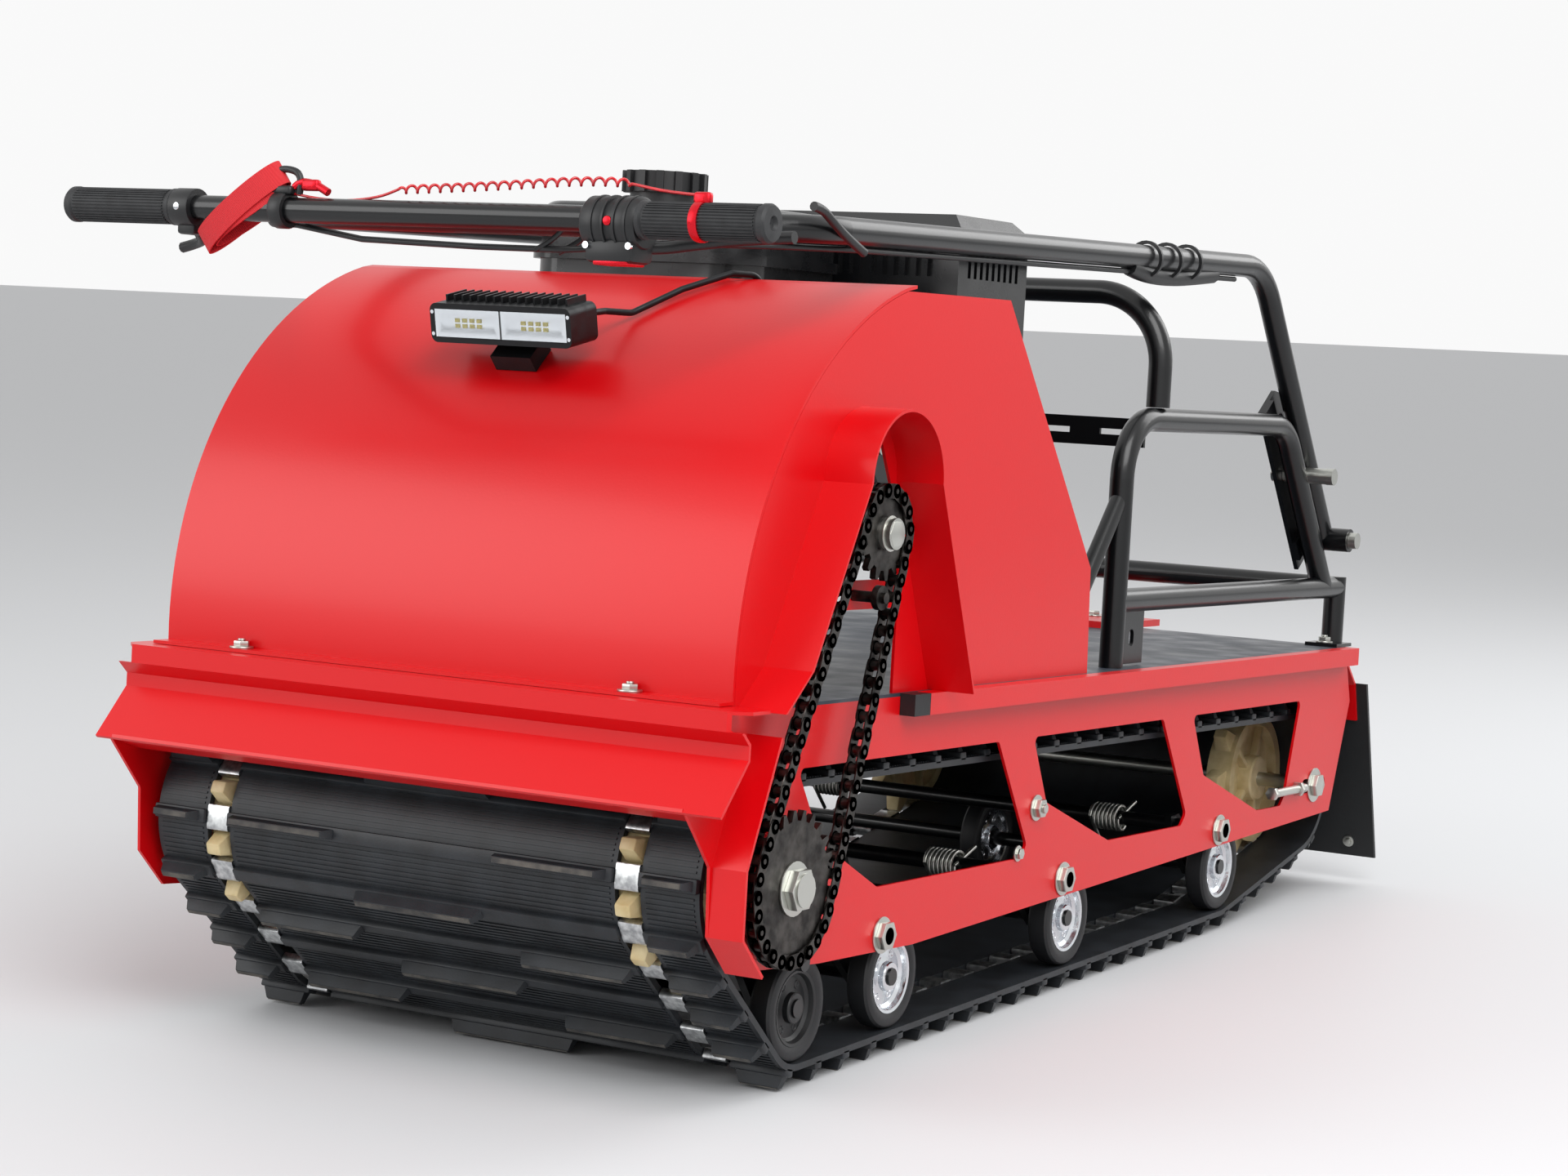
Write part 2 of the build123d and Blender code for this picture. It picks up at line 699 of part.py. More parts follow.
arms, springs, tyres, rims = [], [], [], []
half_tyre = wheel_width / 2
for pivot, wheel in zip(arm_pivots, wheels_at):
    pz = ground(pivot) + arm_pivot_z
    span = hypot(pivot - wheel[0], pz - wheel[1])
    dx, dz = (wheel[0] - pivot) / span, (wheel[1] - pz) / span
    station = rod_y(pivot, pz, -plate_half - pivot_reach, plate_half + pivot_reach, axle_radius)
    station += rod_y(wheel[0], wheel[1], wheel_rows[0] - half_tyre, wheel_rows[2] + half_tyre, axle_radius)
    arm = [(pivot - arm_boss * dx, pz - arm_boss * dz), (pivot - arm_boss * dz, pz + arm_boss * dx),
           (wheel[0] - arm_boss * dz, wheel[1] + arm_boss * dx),
           (wheel[0] + arm_boss * dx, wheel[1] + arm_boss * dz),
           (wheel[0] + arm_boss * dz, wheel[1] - arm_boss * dx), (pivot + arm_boss * dz, pz - arm_boss * dx)]
    for side in (-1, 1):
        y = side * arm_row
        station += flat_y(arm, y - arm_plate / 2, y + arm_plate / 2)
        y = side * spring_row
        spring = rod_y(pivot, pz, y - spring_long / 2, y + spring_long / 2, spring_radius)
        springs.append(spring - rod_y(pivot, pz, y - spring_long, y + spring_long, axle_radius + fit))
    arms.append(station)
    for y in wheel_rows:
        ring = wheel_disc(wheel[0], wheel[1], y - half_tyre, y + half_tyre, wheel_radius - gap)
        tyres.append(ring - wheel_disc(wheel[0], wheel[1], y - wheel_width, y + wheel_width, rim_radius))
        rim = wheel_disc(wheel[0], wheel[1], y - rim_half, y + rim_half, rim_radius - gap)
        for side in (-1, 1):
            y0, y1 = sorted((y + side * web_half, y + side * wheel_width))
            rim -= rod_y(wheel[0], wheel[1], y0, y1, dish_radius)
        rim += rod_y(wheel[0], wheel[1], y - rim_half, y + rim_half, hub_radius)
        rims.append(rim - rod_y(wheel[0], wheel[1], y - wheel_width, y + wheel_width, axle_radius + fit))
parts["suspension_arms"] = Compound(arms)
parts["suspension_springs"] = Compound(springs)
parts["wheel_tyres"] = Compound(tyres)
parts["wheel_rims"] = Compound(rims)

# Drive shaft and rear shaft with their toothed wheels
def cog_wheel(x, z, bore, y):
    tip = drum - gap
    points = []
    for n in range(track_teeth):
        for share, r in ((-cog_root_share, tip - cog_deep), (-cog_tip_share, tip), (cog_tip_share, tip),
                         (cog_root_share, tip - cog_deep)):
            a = 2 * pi * (n + share) / track_teeth
            points.append((x + r * cos(a), z + r * sin(a)))
    half = drive_wheel_wide / 2
    wheel = flat_y(points, y - half, y + half)
    wheel += rod_y(x, z, y - half - cog_hub_over, y + half + cog_hub_over, cog_hub)
    for n in range(cog_holes):
        a = 2 * pi * n / cog_holes
        wheel -= rod_y(x + cog_hole_at * cos(a), z + cog_hole_at * sin(a), y - half - overrun,
                       y + half + overrun, cog_hole)
    return wheel - rod_y(x, z, y - drive_wheel_wide, y + drive_wheel_wide, bore)


for name, x, z, radius, reach in (
        ("drive_shaft", drive_x, drive_z, shaft_radius, chain_y + shaft_reach),
        ("rear_shaft", idler_x, idler_z, axle_radius, plate_half + rear_reach)):
    parts[name] = rod_y(x, z, -plate_half - blind_reach, reach, radius)
    wheels = [cog_wheel(x, z, radius + fit, y) for y in (-window_column, window_column)]
    parts[name.replace("shaft", "wheels")] = Compound(wheels)


def sprocket(x, z, teeth, bore, y0, y1):
    """Toothed disc for a roller chain."""
    pitch_radius = chain_pitch / (2 * sin(pi / teeth))
    root = pitch_radius - chain_pitch * root_share
    tip = pitch_radius + chain_pitch * tip_share
    points = []
    for n in range(teeth):
        for share, r in (
                (-foot_share, root), (-point_share, tip), (point_share, tip), (foot_share, root)):
            a = 2 * pi * (n + share) / teeth
            points.append((x + r * cos(a), z + r * sin(a)))
    return flat_y(points, y0, y1) - rod_y(x, z, y0 - overrun, y1 + overrun, bore)


half_wide = sprocket_wide / 2
parts["drive_sprocket"] = sprocket(drive_x, drive_z, large_teeth, shaft_radius + fit,
                                   chain_y - half_wide, chain_y + half_wide)
crank_wheel = sprocket(crank_x, crank_z, small_teeth, crank_radius + fit,
                       chain_y - half_wide, chain_y + half_wide)
tensioner = rod_y(tensioner_x, tensioner_z, hood_half + gap, chain_y + half_wide + overrun, tensioner_bolt)
tensioner += rod_y(tensioner_x, tensioner_z, chain_y - half_wide, chain_y + half_wide, tensioner_radius)
parts["engine_sprocket"] = Compound([crank_wheel, tensioner])

# Chain: a band over both sprockets, opened round their discs
large_r = chain_pitch / (2 * sin(pi / large_teeth))
small_r = chain_pitch / (2 * sin(pi / small_teeth))
chain_wheels = [(crank_x, crank_z, small_r), (drive_x, drive_z, large_r)]
chain = loop_face(chain_wheels, chain_high / 2, 0) - loop_face(chain_wheels, -chain_high / 2, 0)
chain = Pos(0, chain_y - chain_wide / 2, 0) * extrude(chain, amount=chain_wide, dir=(0, 1, 0))
disc_room = loop_face(chain_wheels, chain_high * room_share, 0) - loop_face(chain_wheels, -chain_high, 0)
disc_room = Pos(0, chain_y - half_wide - gap, 0) * extrude(
    disc_room, amount=sprocket_wide + 2 * gap, dir=(0, 1, 0))
parts["drive_chain"] = chain - disc_room

# Engine: crankcase, slanted cylinder with its fins, blower and starter housings
slope = radians(barrel_slope)


def on_barrel(along, up):
    """Point in the X-Z plane, along the cylinder from the crankshaft and up from its middle."""
    return (crank_x - along * cos(slope) + up * sin(slope), crank_z + along * sin(slope) + up * cos(slope))


def barrel_block(start, end, half_y, half_up):
    corners = [on_barrel(a, b) for a, b in (
        (start, -half_up), (end, -half_up), (end, half_up), (start, half_up))]
    return flat_y(corners, -half_y, half_y)


engine = block(*crankcase)
engine = fillet(engine.edges().filter_by(Axis.Z), case_corner)
engine += barrel_block(0.0, head_to, *barrel_half)
for n in range(cylinder_fins):
    start = fin_from + n * fin_step
    engine += barrel_block(start, start + fin_plate, *fin_half)
engine += barrel_block(fin_from + cylinder_fins * fin_step, head_to, *head_half)
blower_y = crankcase[2] - blower_wide
engine += rod_y(crank_x, crank_z, blower_y, crankcase[2], blower_radius)
duct = [on_barrel(a, b) for a, b in (
    (0.0, -head_half[1]), (blower_head, -head_half[1]), (blower_head, head_half[1]), (0.0, blower_radius))]
engine += flat_y(duct, blower_y, 0.0)
engine += rod_y(crank_x, crank_z, blower_y - starter_wide, blower_y, starter_radius)
starter_y = blower_y - starter_wide
for n in range(starter_slots):
    turn = 360.0 * n / starter_slots
    engine -= Pos(crank_x, starter_y, crank_z) * Rot(0, turn, 0) * Pos(starter_slot_at, 0, 0) * Box(
        starter_slot[0], 2 * slot_deep, starter_slot[1])
for side in (-1, 1):
    y0, y1 = sorted((side * tank_leg_row, side * (tank_leg_row + tank_leg_sheet)))
    engine += block(tank_leg[0], tank_leg[1], y0, y1, crankcase[5] - case_corner, tank_box[4] - gap)
engine += block(port[0], port[1], port[2], port[3], port[4], muffler_box[4] - gap)
engine += block(*intake)
parts["engine_block"] = engine
parts["engine_shaft"] = (rod_y(crank_x, crank_z, crankcase[3], chain_y + crank_reach, crank_radius)
                         + rod_y(crank_x, crank_z, crankcase[3] + clutch_start,
                                 crankcase[3] + clutch_start + clutch_wide, clutch_radius))

# Tank with its seam and cap, the louvred muffler cover and the air filter
tank = block(*tank_box)
tank = fillet(tank.edges().filter_by(Axis.Z), tank_corner)
tank = fillet(tank.faces().sort_by(Axis.Z)[-1].edges(), tank_crown)
seam_z = (tank_box[4] + tank_box[5]) / 2
seam = block(tank_box[0], tank_box[1] + seam_out, tank_box[2] - seam_out, tank_box[3] + seam_out,
             seam_z - seam_high / 2, seam_z + seam_high / 2)
parts["fuel_tank"] = tank + fillet(seam.edges().filter_by(Axis.Z), tank_corner)
cap = rod_z(cap_x, cap_y, tank_box[5], tank_box[5] + cap_height, cap_neck)
cap += rod_z(cap_x, cap_y, tank_box[5] + cap_height / 3, tank_box[5] + cap_height, cap_radius - cap_rib)
for n in range(cap_ribs):
    cap += Pos(cap_x, cap_y, tank_box[5] + cap_height * 2 / 3) * Rot(0, 0, 360.0 * n / cap_ribs) * Pos(
        cap_radius - cap_rib, 0, 0) * Box(2 * cap_rib, 2 * cap_rib, cap_height * 2 / 3)
parts["fuel_cap"] = cap
cover = block(*muffler_box)
cover = chamfer(cover.faces().sort_by(Axis.Z)[-1].edges(), cover_chamfer / 2)
for n in range(cover_slots_front):
    y = (muffler_box[2] + muffler_box[3]) / 2 + (n + 0.5 - cover_slots_front / 2) * cover_slot_step
    cover -= block(muffler_box[1] - cover_slot_deep, muffler_box[1] + overrun, y - cover_slot[0] / 2,
                   y + cover_slot[0] / 2, cover_slot_z - cover_slot[1] / 2, cover_slot_z + cover_slot[1] / 2)
for n in range(cover_slots_side):
    x = (muffler_box[0] + muffler_box[1]) / 2 + (n + 0.5 - cover_slots_side / 2) * cover_slot_step
    cover -= block(x - cover_slot[0] / 2, x + cover_slot[0] / 2, muffler_box[3] - cover_slot_deep,
                   muffler_box[3] + overrun, cover_slot_z - cover_slot[1] / 2, cover_slot_z + cover_slot[1] / 2)
parts["muffler_cover"] = cover
air = block(*filter_box)
air = fillet(air.edges().filter_by(Axis.Z), filter_corner)
rim = block(filter_box[0] - overrun, filter_box[1] + overrun, filter_box[2] - overrun, filter_box[3] + overrun,
            filter_band[0], filter_band[0] + filter_band[1])
core = block(filter_box[0] + filter_band[1], filter_box[1] - filter_band[1], filter_box[2] + filter_band[1],
             filter_box[3] - filter_band[1], filter_band[0], filter_band[0] + filter_band[1])
parts["air_filter"] = air - (rim - fillet(core.edges().filter_by(Axis.Z), filter_corner))
parts["engine_plinth"] = block(crankcase[0] - plinth_edge, crankcase[1] + plinth_edge,
                               crankcase[2] - plinth_edge, crankcase[3] + plinth_edge,
                               deck_top, engine_base - gap)

# Cage frames on both sides. The rear tube runs below the handle's leg, alongside it
leg_long = hypot(elbow_x - pivot_x, elbow_z - pivot_z)
leg_dx = (elbow_x - pivot_x) / leg_long
leg_dz = (elbow_z - pivot_z) / leg_long


def by_leg(along, below):
    """Point beside the folded leg: along it from the hinge, and below it."""
    return pivot_x + along * leg_dx + below * leg_dz, pivot_z + along * leg_dz - below * leg_dx


post_line = 2 * tube + post_clear
post_origin = by_leg(0.0, post_line)
arch_rear_x = post_origin[0] + (cage_top - post_origin[1]) * leg_dx / leg_dz
arch_foot_x = post_origin[0] + (cage_low - post_origin[1]) * leg_dx / leg_dz
sleeve_gap = tube + lock_sleeve + gap
lock_x, lock_z = by_leg(lock_along, sleeve_gap)

for name, side in (("cage_left", 1), ("cage_right", -1)):
    y = side * cage_y
    frame = bent_tube([(cage_front, y, deck_top), (cage_front, y, cage_top), (arch_rear_x, y, cage_top),
                       (arch_foot_x, y, cage_low)], cage_bend, tube)
    frame += rod_z(cage_rear, y, deck_top, cage_low + tube, tube)
    frame += Pos((cage_front + cage_rear) / 2, y, cage_low) * Rot(0, 90, 0) * \
        Cylinder(tube, cage_front - cage_rear)
    frame += bent_tube([(cage_front, y, stay_top), (stay_foot_x, y, deck_top)], cage_bend, stay_tube)
    frame -= block(stay_foot_x - deck_half, stay_foot_x + deck_half, y - deck_half, y + deck_half,
                   deck_top - deck_half, deck_top)
    gusset = block(cage_front - tube - gusset_long, cage_front, y - gusset_sheet / 2, y + gusset_sheet / 2,
                   cage_low - tube - gusset_high, cage_low)
    gusset -= Pos(cage_front - tube - gusset_long / 2, y, cage_low - tube - gusset_high / 2) * \
        Rot(90, 0, 0) * extrude(SlotOverall(slot_high * 3, slot_high * 2, rotation=90), gusset_sheet, both=True)
    frame += gusset
    foot = block(cage_rear - tube, cage_rear - tube + foot_long, y - foot_wide / 2, y + foot_wide / 2,
                 deck_top, deck_top + gusset_sheet)
    frame += foot
    frame -= rod_y(lock_x, lock_z, y - deck_half, y + deck_half, lock_sleeve + fit)
    parts[name] = frame

bar_inner = cage_y - tube - gap
cross = block(hoop_x - bar_sheet / 2, hoop_x + bar_sheet / 2, -bar_inner, bar_inner,
              cage_top - bar_high, cage_top)
for n in range(slot_count):
    y = (n + 0.5 - slot_count / 2) * 2 * bar_inner / slot_count
    cross -= block(hoop_x - bar_sheet, hoop_x + bar_sheet, y - slot_long / 2, y + slot_long / 2,
                   cage_top - bar_high / 2 - slot_high / 2, cage_top - bar_high / 2 + slot_high / 2)
hoop_foot = cage_top + tube + gap
parts["cage_crossbars"] = Compound([cross, rod_y(cage_rear, cage_low, -bar_inner, bar_inner, tube)])
parts["cage_hoop"] = bent_tube(
    [(hoop_x, -cage_y, hoop_foot), (hoop_x, -cage_y, hoop_top - tube), (hoop_x, cage_y, hoop_top - tube),
     (hoop_x, cage_y, hoop_foot)], hoop_bend, tube)

# Plates inside the cage tubes that carry the hinge bolts, and the bolts themselves
forks = []
for side in (-1, 1):
    y_face = side * (cage_y - tube - post_clear)
    y0, y1 = sorted((y_face - side * fork_sheet, y_face))
    outline = [by_leg(*p) for p in (
        (-fork_tail, sleeve), (0.0, -fork_back), (fork_long - fork_back, -fork_back), (fork_long, 0.0),
        (fork_long, post_line + tube), (-fork_tail, post_line + tube))]
    plate = flat_y(outline, y0, y1)
    y2, y3 = sorted((y_face, side * (cage_y - tube - gap)))
    for along in (0.0, fork_long - 2 * tube):
        corners = [by_leg(along + a, b) for a, b in (
            (0.0, post_line - tube), (2 * tube, post_line - tube), (2 * tube, post_line + tube),
            (0.0, post_line + tube))]
        plate += flat_y(corners, y2, y3)
    for x, z in ((pivot_x, pivot_z), (lock_x, lock_z)):
        plate -= rod_y(x, z, y0 - overrun, y1 + overrun, pin + fit)
    for along, below, radius in fork_holes:
        x, z = by_leg(along, below)
        plate -= rod_y(x, z, y0 - overrun, y1 + overrun, radius)
    forks.append(plate)
parts["fork_plates"] = Compound(forks)

bolts = []
for side in (-1, 1):
    for x, z, grown in ((pivot_x, pivot_z, 0.0), (lock_x, lock_z, lock_sleeve)):
        inner_end = side * (cage_y - tube - post_clear - fork_sheet - nut_long)
        outer_end = side * (cage_y - tube + sleeve_long + gap)
        bolt = rod_y(x, z, inner_end, outer_end + side * head_long, pin)
        bolt += rod_y(x, z, outer_end, outer_end + side * head_long, head_radius)
        bolt += rod_y(x, z, inner_end, inner_end + side * (nut_long - gap), head_radius)
        if grown:
            bolt += rod_y(x, z, side * (cage_y - tube - post_clear + gap), outer_end, grown)
        bolts.append(bolt)
parts["handle_bolts"] = Compound(bolts)

# Handle: two bent legs, the cross tube and the bar in front
cross_x = bar_x - bar_reach
near_path = [(pivot_x, cage_y, pivot_z), (elbow_x, cage_y, elbow_z), (leg_turn_x, cage_y, leg_turn_z),
             (cross_x, leg_in, bar_z)]
far_path = [(x, -y, z) for x, y, z in near_path]
frame = None
for side, route in ((-1, far_path), (1, near_path)):
    leg = bent_tube(route, elbow_bend, tube)
    eye = rod_y(pivot_x, pivot_z, side * (cage_y - tube), side * (cage_y - tube + sleeve_long), sleeve)
    leg = (leg + eye) - rod_y(pivot_x, pivot_z, 0.0, side * 2 * cage_y, pin + fit)
    frame = leg if frame is None else frame + leg
stem_end = bar_x - bar_tube - gap
frame += rod_y(cross_x, bar_z, -leg_in - tube, leg_in + tube, tube)
for y in (-stem_y, stem_y):
    frame += Pos((cross_x + stem_end) / 2, y, bar_z) * Rot(0, 90, 0) * Cylinder(stem_radius, stem_end - cross_x)
parts["handle_frame"] = frame
grip_start = bar_half - grip_long
parts["handlebar"] = rod_y(bar_x, bar_z, -bar_half + grip_end, bar_half - grip_end, bar_tube)
grips = []
for side in (-1, 1):
    rubber = rod_y(bar_x, bar_z, side * grip_start, side * bar_half, grip)
    rubber -= rod_y(bar_x, bar_z, side * (grip_start - overrun), side * (bar_half - grip_end + gap),
                    bar_tube + fit)
    grips.append(rubber)
parts["grips"] = Compound(grips)

# Levers on their clamps, and the throttle housing beside the left grip
controls = []
for side, wide, half, reach in (
        (-1, clamp_wide, clamp_radius, thumb_long), (1, housing_wide, housing_half, lever_long)):
    y0, y1 = sorted((side * (grip_start - gap), side * (grip_start - gap - wide)))
    if side > 0:
        body = block(bar_x - half, bar_x + grip, y0, y1, bar_z - half - housing_drop, bar_z + half)
        body = fillet(body.edges().filter_by(Axis.Y), half / 3)
    else:
        body = rod_y(bar_x, bar_z, y0, y1, half)
    root = side * (grip_start - gap - wide / 2)
    body += block(bar_x - lever_back, bar_x, root - lever_high / 2, root + lever_high / 2,
                  bar_z - lever_high / 2, bar_z + lever_high / 2)
    y2, y3 = sorted((root - side * lever_high / 2, root + side * reach))
    body += block(bar_x - lever_back - lever_thick, bar_x - lever_back, y2, y3,
                  bar_z - lever_high / 2, bar_z + lever_high / 2)
    body -= rod_y(bar_x, bar_z, y0 - overrun, y1 + overrun, bar_tube + fit)
    controls.append(body)
parts["hand_controls"] = Compound(controls)

parts["control_cable"] = bent_tube(cable_route, cable_bend, cable_radius)
parts["stop_tether"] = bent_tube(tether_route, tether_bend, tether_radius)

# Rear panel, the mud flap behind it, and the towing plate on the deck
flap_top_x = deck_rear - flap_out
flap_low_x = flap_top_x - flap_lean
lean = flap_lean / (flap_top_z - flap_low_z)
panel_low_z = flap_top_z - panel_seat
panel_line = [(deck_rear, deck_top - sheet - gap), (flap_top_x, flap_top_z),
              (flap_top_x - panel_seat * lean, panel_low_z)]
parts["rear_panel"] = folded_sheet(panel_line, -sheet, -inside, inside)
flap_front = offset_line(panel_line, gap)[1:]
flap_front[1] = (flap_low_x, flap_low_z)
flap = flap_front + [(x - flap_sheet, z) for x, z in flap_front[::-1]]
parts["mud_flap"] = flat_y(flap, -flap_half, flap_half)
hitch = block(hitch_rear, hitch_front, -hitch_half, hitch_half, deck_top, deck_top + hitch_sheet)
hitch -= rod_z(hitch_rear + hitch_hole_in, 0.0, deck_top - overrun, deck_top + hitch_sheet + overrun, hitch_hole)
parts["tow_plate"] = hitch

# Work lamp on the hood: finned body, glass in its recess, and the bracket below it
lamp_place = Pos(lamp_x, lamp_y, lamp_z) * Rot(0, lamp_tilt, 0)
lamp = Box(lamp_deep, 2 * lamp_half, lamp_high)
lamp = fillet(lamp.edges().filter_by(Axis.X), lamp_corner)
lamp -= Pos(lamp_deep / 2, 0, 0) * Box(2 * lens_deep, 2 * (lamp_half - lamp_rim), lamp_high - 2 * lamp_rim)
for n in range(fin_count):
    y = (n + 0.5 - fin_count / 2) * 2 * (lamp_half - lamp_corner) / fin_count
    lamp += Pos(-fin_back, y, lamp_high / 2) * Box(lamp_deep - 2 * fin_back, fin_sheet, 2 * fin_high)
lens = Pos(lamp_deep / 2 - 3 * lens_deep / 4, 0, 0) * Box(
    lens_deep / 2 - gap, 2 * (lamp_half - lamp_rim - gap), lamp_high - 2 * (lamp_rim + gap))
parts["lamp_lens"] = lamp_place * lens
toe = radians(bracket_angle)
bracket_r = hood_radius + gap
foot_at = Pos(hood_x + bracket_r * cos(toe), lamp_y, hood_z + bracket_r * sin(toe)) * \
    Rot(0, degrees(pi / 2 - toe), 0)
bracket = foot_at * Pos(0, 0, bracket_high / 2) * Box(bracket_long, bracket_wide, bracket_high)
parts["lamp_body"] = lamp_place * lamp + bracket + bent_tube(lead_route, lead_bend, lead_radius)

tilt = radians(stance)
front_end = bar_x * cos(tilt) - bar_z * sin(tilt) + grip
rear_end = (flap_low_x - flap_sheet) * cos(tilt) - flap_low_z * sin(tilt)
middle = (front_end + rear_end) / 2

os.makedirs("parts", exist_ok=True)
for name, solid in parts.items():
    turned = Pos(-middle, 0, 0) * Rot(0, -stance, 0) * solid
    export_step(turned, f"parts/{name}.step")
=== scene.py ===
import math

import bmesh
import bpy
from bpy.props import FloatProperty, FloatVectorProperty, StringProperty
from mathutils import Matrix, Vector


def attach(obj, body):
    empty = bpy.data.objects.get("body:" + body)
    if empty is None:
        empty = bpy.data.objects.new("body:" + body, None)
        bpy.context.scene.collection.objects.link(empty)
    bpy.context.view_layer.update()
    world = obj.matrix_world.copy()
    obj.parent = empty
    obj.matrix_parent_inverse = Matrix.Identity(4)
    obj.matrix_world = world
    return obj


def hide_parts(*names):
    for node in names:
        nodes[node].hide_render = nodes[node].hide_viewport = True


bl_info = {
    "name": "Tracked Snow Tug",
    "version": (1, 0, 0),
    "blender": (4, 5, 0),
    "location": "View3D > Sidebar > Snow Tug",
    "description": "Dresses the CAD frame of a tracked snow tug with its finishes and fine pieces",
    "category": "Add Mesh",
}

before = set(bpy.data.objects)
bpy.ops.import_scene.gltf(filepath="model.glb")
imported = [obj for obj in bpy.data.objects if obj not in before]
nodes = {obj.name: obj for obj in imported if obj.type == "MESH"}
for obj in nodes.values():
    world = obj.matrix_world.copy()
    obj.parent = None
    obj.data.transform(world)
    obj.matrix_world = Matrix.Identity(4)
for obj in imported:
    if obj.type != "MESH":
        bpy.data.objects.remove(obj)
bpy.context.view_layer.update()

# Pieces are modelled in millimetres in the deck's frame, as part.py draws them, and DECK
# turns them nose up by the stance, centres them and brings them to metres
STANCE = math.radians(2.45)
MIDDLE = 14.693914
DECK = (Matrix.Translation((MIDDLE / 1000, 0, 0)) @ Matrix.Rotation(-STANCE, 4, "Y")
        @ Matrix.Scale(0.001, 4))

# Track and wheels, as in part.py
BELT = 6.0
LUG = 18.0
PITCH = 50.5
TEETH = 10
LUG_BASE = 12.0
LUG_TIP = 4.4
LUG_SLANT = 8.0
RIDGE = 6.0
BAR_WIDE = 20.0
WINDOW_IN = 211.0
WINDOW_OUT = 237.0
TRACK_HALF = 296.0
BANDS = ((-TRACK_HALF, -WINDOW_OUT), (-WINDOW_IN, WINDOW_IN), (WINDOW_OUT, TRACK_HALF))
SIDE_LUGS = ((-TRACK_HALF, -240.0), (240.0, TRACK_HALF))
LUG_ROWS = (((-72.0, 72.0), *SIDE_LUGS), ((-208.0, -85.0), (85.0, 208.0), *SIDE_LUGS))
# The lugs' rubber and their lighter tips, which are a painted highlight, end this much short of the full
# height
LUG_SHORT = 0.4
TIP_SHORT = 0.1
# Fine ribs of the belt: distance, and their half width, which is their height too
RIB_PITCH = 4.6
RIB = 0.9
CLIP = 1.5
# Strips into which a flat row is cut, so that it can bend
STRIPS = 8
COG_HALF = 15.0
TOOTH_HALF = 10.0
COLUMN = 224.0
DRIVE = (631.0, 172.0)
IDLER = (-599.0, 168.0)
DRUM = PITCH * TEETH / (2 * math.pi) - BELT / 2
WHEEL_R = 49.0
PIVOTS = (574.0, 424.0, 55.0, -330.0)
AXLES = (536.0, 364.0, -3.0, -386.0)
WHEEL_ROWS = (-282.0, 0.0, 282.0)
PIVOT_Z = 124.0
PLATE = 312.0
CRANK = (504.0, 474.0)
CHAIN_PITCH = 15.875
CHAIN_Y = 335.0
ENGINE_TEETH = 15
DRIVE_TEETH = 25
CHAIN_INNER = (3.9, 5.3)
CHAIN_OUTER = (5.4, 6.6)
SPRING_Y = 180.0
SPRING_HALF = 17.0
SPRING_TURNS = 7
SPRING_STEPS = 18
WASHER = 2.0
BAR = (779.0, 727.0)
GRIP_START = 248.0
CAGE_Y = 290.0


def ground(x):
    return -x * math.tan(STANCE)


AXLE_Z = (WHEEL_R + BELT + LUG) / math.cos(STANCE)
TETHER_ROUTE = (
    (779.0, -125.0, 742.8), (779.0, -20.0, 746.0), (779.0, 100.0, 752.0), (779.0, 185.0, 758.0),
    (779.0, 240.0, 757.0), (779.0, 300.0, 748.4),
)
GRIP_RIDGES = 34
STRAP_WIDE = 23.0
# Each turn of the strap: y, height over the bar, half length, half depth, lean in degrees
STRAP_TURNS = ((-173, 1, 54, 14.2, 37), (-168, 0, 46, 12.4, 31))
TETHER_START = ((779.0, -100.0, 738.0), (779.0, -60.0, 736.0), (779.0, -25.0, 740.0))
TETHER_END = (779.0, 270.0, 750.0)
TETHER_WIRE = 1.25
COIL_START = -5.0
COIL_END = 235.0
COIL_PITCH = 12.0
COIL_RADIUS = 3.2
COIL_STEPS = 12

# Profiles as (radius, place along the bar)
GRIP = ((11.2, 0), (16.4, 0), (16.4, 3.5), (14.8, 4.5), (14.8, 114), (16.2, 116), (16.2, 121),
        (14.5, 123.4), (6.5, 123.9), (4.5, 121), (0.5, 120.5))
CLAMP = ((11.2, 0), (16.6, 0), (16.9, 1), (16.9, 21), (16.6, 22), (11.2, 22))
HOUSING = ((11.2, 0), (20, 0), (22.5, 3), (22.5, 22), (21, 26), (21, 30), (22.5, 34), (22.5, 50),
           (20, 54), (11.2, 54))
# Routes with x and z from the bar's middle line
BRAKE_LEVER = ((-16, -240, -18), (-34, -246, -26), (-44, -262, -30), (-46, -281, -34))
THROTTLE_LEVER = ((-14, 226, -22), (-34, 240, -22), (-47, 270, -16), (-50, 320, -10), (-50, 362, -8))
BUCKLE_LOOP = ((0, -142, 14), (0, -146, 31), (0, -128, 37), (0, -108, 31), (0, -112, 14))
CLIP_HOOK = ((0, -117, 20), (0, -112, 25), (0, -98, 24), (0, -88, 20), (0, -80, 16))
CABLE_LOOP = ((-18, 194, -2), (-30, 170, 10), (-34, 150, 4), (-36, 140, -14), (-30, 120, -26))
CABLE_ARC = ((-26, 194, -14), (-50, 160, -2), (-58, 150, -16), (-50, 130, -27))
# Routes in the deck's frame
CABLE_END = ((606, 306, 752), (592, 306, 751), (574, 306, 742), (545, 305, 729), (512, 304, 718))
CABLE_WRAP = ((-60, 290, 738), (-89, 290, 733), (-150, 290, 731), (-210, 290, 735), (-270, 290, 741))

LAMP_PLACE = (604.0, -2.0, 642.0)
LAMP_TILT = 12.0
LAMP_AIM = Vector((0.0, 0.0, 0.4))
# The camera's turn, drop and roll in degrees, in the deck's frame
CAMERA_TURN = (30.664, 3.457, 3.167)
# Noise values between which a patch goes from one look to the other
NOISE_LOW = 0.35
NOISE_HIGH = 0.65


